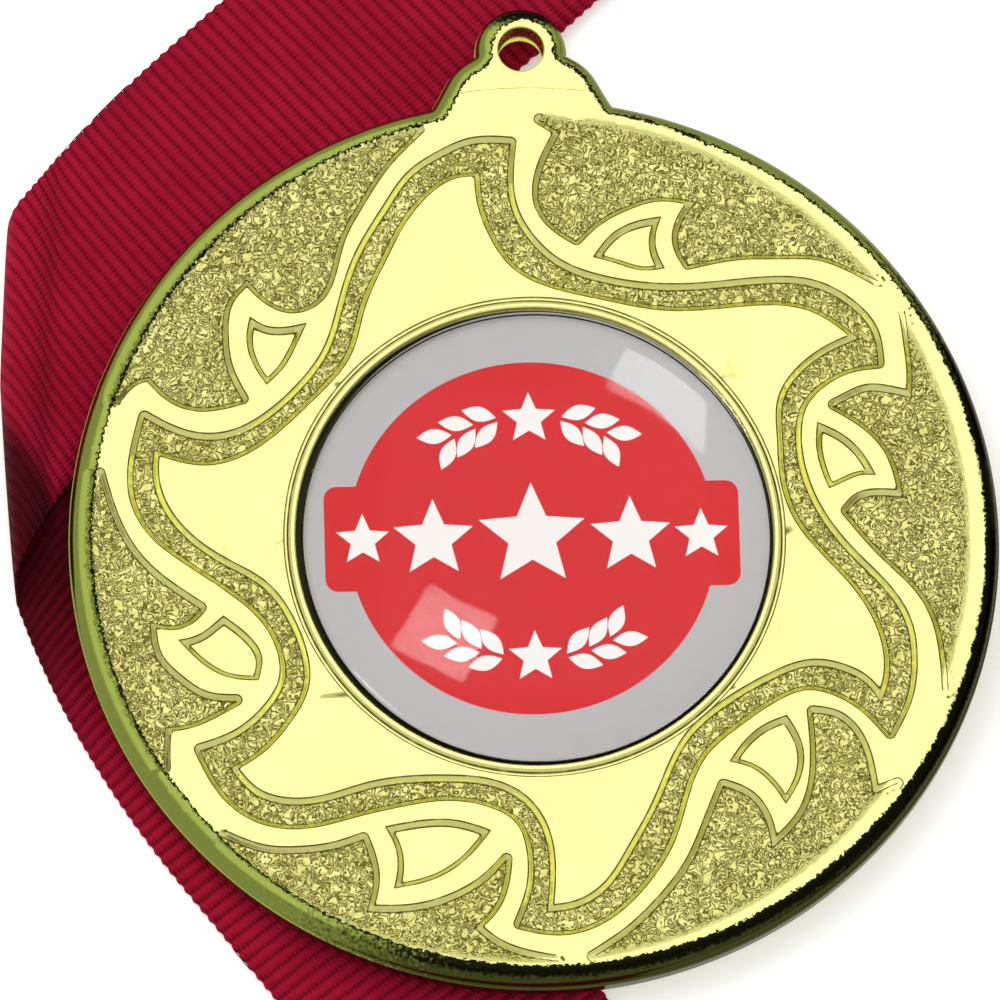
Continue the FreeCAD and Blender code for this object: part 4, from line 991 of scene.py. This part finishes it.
def hammered_gold():
    """Ground between the flames: short curling ridges with toned furrows."""
    material = new_material("hammered_gold")
    nodes = Nodes(material)
    place = nodes.place()
    field = nodes.noise(place, 2.1, 1.4, 1.0)
    rings = nodes.math("PINGPONG", nodes.math("MULTIPLY", field, 6.0), 0.5)
    furrow = nodes.smooth(rings, 0.19, 0.05)
    broken = nodes.smooth(nodes.noise(place, 3.4, 2.0), 0.28, 0.48)
    ragged = nodes.math("MULTIPLY", nodes.math("SUBTRACT", field, 0.5), 0.8)
    worked = nodes.smooth(nodes.math("ADD", nodes.attribute("hammer"), ragged), 0.25, 0.7)
    furrow = nodes.math("MULTIPLY", nodes.math("MULTIPLY", furrow, broken), worked)
    patch = nodes.noise(place, 0.7, 2.0)
    base = nodes.mix(nodes.smooth(patch, 0.35, 0.65), (0.85, 0.81, 0.30, 1), (0.69, 0.65, 0.21, 1))
    colour = nodes.mix(nodes.math("MULTIPLY", furrow, 0.95), nodes.mix(worked, GOLD, base), TONING_AND_PAINTED_SHADE)
    # painted shade and reflection: the dark lines along each step
    colour = nodes.mix(nodes.smooth(nodes.attribute("line"), 0.15, 0.75), colour, TONING_AND_PAINTED_SHADE)
    nodes.link(gold_edge(nodes, colour), "Base Color")
    height = nodes.math("MULTIPLY", nodes.math("SUBTRACT", rings, furrow), worked)
    nodes.link(nodes.bump(height, 0.85, 0.00007), "Normal")
    nodes.fix(Metallic=1.0, Roughness=0.33)
    return material


def dark_recess():
    """Shaded wall and floor of the recess round the centre."""
    material = new_material("recess_dark")
    nodes = Nodes(material)
    colour = nodes.mix(nodes.noise(nodes.place(), 2.0), (0.02, 0.017, 0.006, 1), (0.045, 0.038, 0.01, 1))
    nodes.link(colour, "Base Color")
    nodes.fix(Metallic=0.8, Roughness=0.5)
    return material


def clear_resin():
    """Clear glossy resin: seen straight through, with gloss that grows toward its edge."""
    material = new_material("clear_resin")
    tree = material.node_tree
    nodes = Nodes(material)
    ripple = nodes.noise(nodes.place(), 0.35, 2.0)
    normal = nodes.bump(ripple, 0.05, 0.0002)
    clear = nodes.add("ShaderNodeBsdfTransparent", {"Color": (1, 1, 1, 1)})
    gloss = nodes.add("ShaderNodeBsdfGlossy", {"Color": (1, 1, 1, 1), "Roughness": 0.05, "Normal": normal})
    fresnel = nodes.add("ShaderNodeFresnel", {"IOR": 1.16, "Normal": normal})
    both = nodes.add("ShaderNodeMixShader", {0: fresnel.outputs[0], 1: clear.outputs[0], 2: gloss.outputs[0]})
    tree.links.new(both.outputs[0], tree.nodes["Material Output"].inputs["Surface"])
    return material


def printed(name, colour, other, rough=0.45):
    """Matt printed ink with a faint uneven tone."""
    material = new_material(name)
    nodes = Nodes(material)
    mottled = nodes.noise(nodes.place(), 1.2, 5.0)
    nodes.link(nodes.mix(mottled, colour, other), "Base Color")
    nodes.link(nodes.bump(nodes.noise(nodes.place(), 12.0, 2.0), 0.1, 0.00002), "Normal")
    nodes.fix(Roughness=rough, Specular_IOR_Level=0.1)
    return material


def ribbon_weave():
    """Crimson grosgrain: round ribs across the ribbon with fine warp threads over them."""
    material = new_material("ribbon_weave")
    nodes = Nodes(material)
    strip = nodes.add("ShaderNodeUVMap", uv_map="strip").outputs[0]
    parts = nodes.add("ShaderNodeSeparateXYZ", {0: strip})
    along = nodes.math("MULTIPLY", parts.outputs[0], 1 / STRIP_SCALE)
    across = nodes.math("MULTIPLY", parts.outputs[1], 1 / STRIP_SCALE)
    wander = nodes.noise(nodes.place(), 0.8, 2.0)
    phase = nodes.math("ADD", nodes.math("MULTIPLY", along, 2 * math.pi / RIB),
                       nodes.math("MULTIPLY", wander, 0.7))
    rib = nodes.math("ADD", nodes.math("MULTIPLY", nodes.math("COSINE", phase), 0.5), 0.5)
    offset = nodes.math("MULTIPLY", nodes.math("FLOOR", nodes.math("MULTIPLY", along, 1 / RIB)), 1.7)
    thread = nodes.math("ADD", nodes.math("MULTIPLY", nodes.math("COSINE", nodes.math(
        "ADD", nodes.math("MULTIPLY", across, 2 * math.pi / 0.27), offset)), 0.5), 0.5)
    fuzz = nodes.noise(nodes.place(), 7.0, 3.0)
    # painted shade: the valleys between the ribs and the gaps between the threads are painted darker, with a
    # random fuzz tone on top
    shade = nodes.math("ADD", nodes.math("MULTIPLY", nodes.math("POWER", rib, 0.7), 0.7),
                       nodes.math("MULTIPLY", thread, 0.18))
    shade = nodes.math("ADD", shade, nodes.math("MULTIPLY", fuzz, 0.2))
    patch = nodes.smooth(nodes.noise(nodes.place(), 0.16, 3.0), 0.3, 0.7)
    base = nodes.mix(patch, (0.33, 0.0045, 0.027, 1), (0.41, 0.007, 0.036, 1))
    colour = nodes.mix(nodes.smooth(shade, 0.05, 0.7), (0.15, 0.0012, 0.009, 1), base)
    # painted shadow: the inner side of the loop, just past the roll, is painted darker where the upper run
    # shades it
    loop_painted_shadow = nodes.math("MULTIPLY", nodes.smooth(along, 35.0, 37.0), nodes.smooth(along, 58.0, 44.0))
    nodes.link(nodes.mix(nodes.math("MULTIPLY", loop_painted_shadow, 0.85), colour, (0.02, 0.0004, 0.002, 1)), "Base Color")
    height = nodes.math("ADD", rib, nodes.math("MULTIPLY", thread, 0.22))
    nodes.link(nodes.bump(height, 0.8, 0.00016), "Normal")
    nodes.fix(Roughness=0.8, Sheen_Weight=0.08, Sheen_Roughness=0.4, Sheen_Tint=(0.9, 0.25, 0.35, 1),
              Specular_IOR_Level=0.08)
    return material


def plain_metal(name, colour, rough, grain):
    """Small plated fitting with faint tool marks."""
    material = new_material(name)
    nodes = Nodes(material)
    tone_and_painted_reflection = nodes.noise(nodes.place(), 1.6, 3.0)
    darker = tuple(0.75 * c for c in colour[:3]) + (1,)
    nodes.link(nodes.mix(nodes.smooth(tone_and_painted_reflection, 0.3, 0.7), colour, darker), "Base Color")
    nodes.link(nodes.bump(nodes.noise(nodes.place((1000, 4000, 4000)), 2.0, 3.0), grain, 0.00003), "Normal")
    nodes.link(nodes.add("ShaderNodeMapRange", {0: tone_and_painted_reflection, 3: rough, 4: rough + 0.12}).outputs[0], "Roughness")
    nodes.fix(Metallic=1.0)
    return material


# ---------------------------------------------------------------- the whole object
def add_piece(made, slot, materials, *nodes):
    """Give a piece its materials and body, and hide the CAD nodes it stands for; the record slot is not used.
    """
    for material in materials:
        made.data.materials.append(material)
    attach(made, ROOT)
    if nodes:
        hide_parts(*nodes)


def paint(node, material):
    """Put one finish on a CAD node that is shown as it is."""
    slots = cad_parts[node].data.materials
    slots.clear()
    slots.append(material)


def main():
    make_camera()
    make_studio()
    polished, hammered = polished_gold(), hammered_gold()
    add_piece(build_face(), "gilt_casting", [polished, hammered, polished, dark_recess()], "medal_casting")
    dome = build_dome()
    add_piece(dome, "clear_resin", [clear_resin()], "clear_dome")
    window_lights(dome)
    inks = [printed("ink_grey", (0.50, 0.50, 0.515, 1), (0.54, 0.54, 0.555, 1)),
            printed("ink_red", (0.66, 0.022, 0.028, 1), (0.72, 0.03, 0.035, 1)),
            printed("ink_white", (0.93, 0.93, 0.93, 1), (0.97, 0.97, 0.97, 1))]
    add_piece(build_label(), "label_print", inks, "printed_label")
    ribbon = build_ribbon()
    add_piece(ribbon, "ribbon_weave", [ribbon_weave()], "ribbon_upper_run", "ribbon_lower_run", "ribbon_fold",
              "ribbon_upper_return", "ribbon_lower_return", "ribbon_hank", "ribbon_ends")
    gilt = plain_metal("gilt_fitting", (0.78, 0.62, 0.22, 1), 0.2, 0.15)
    for node in ("ribbon_clamp", "wire_link", "swivel_eye", "hook_body", "gate_rivet"):
        paint(node, gilt)
    paint("spring_gate", plain_metal("spring_steel", (0.55, 0.55, 0.54, 1), 0.28, 0.3))
    paint("adhesive_pad", printed("foam_pad", (0.8, 0.8, 0.78, 1), (0.7, 0.7, 0.68, 1), 0.9))
    paint("hank_band", printed("band_paper", (0.78, 0.75, 0.68, 1), (0.7, 0.67, 0.6, 1), 0.8))


main()
bpy.context.view_layer.update()
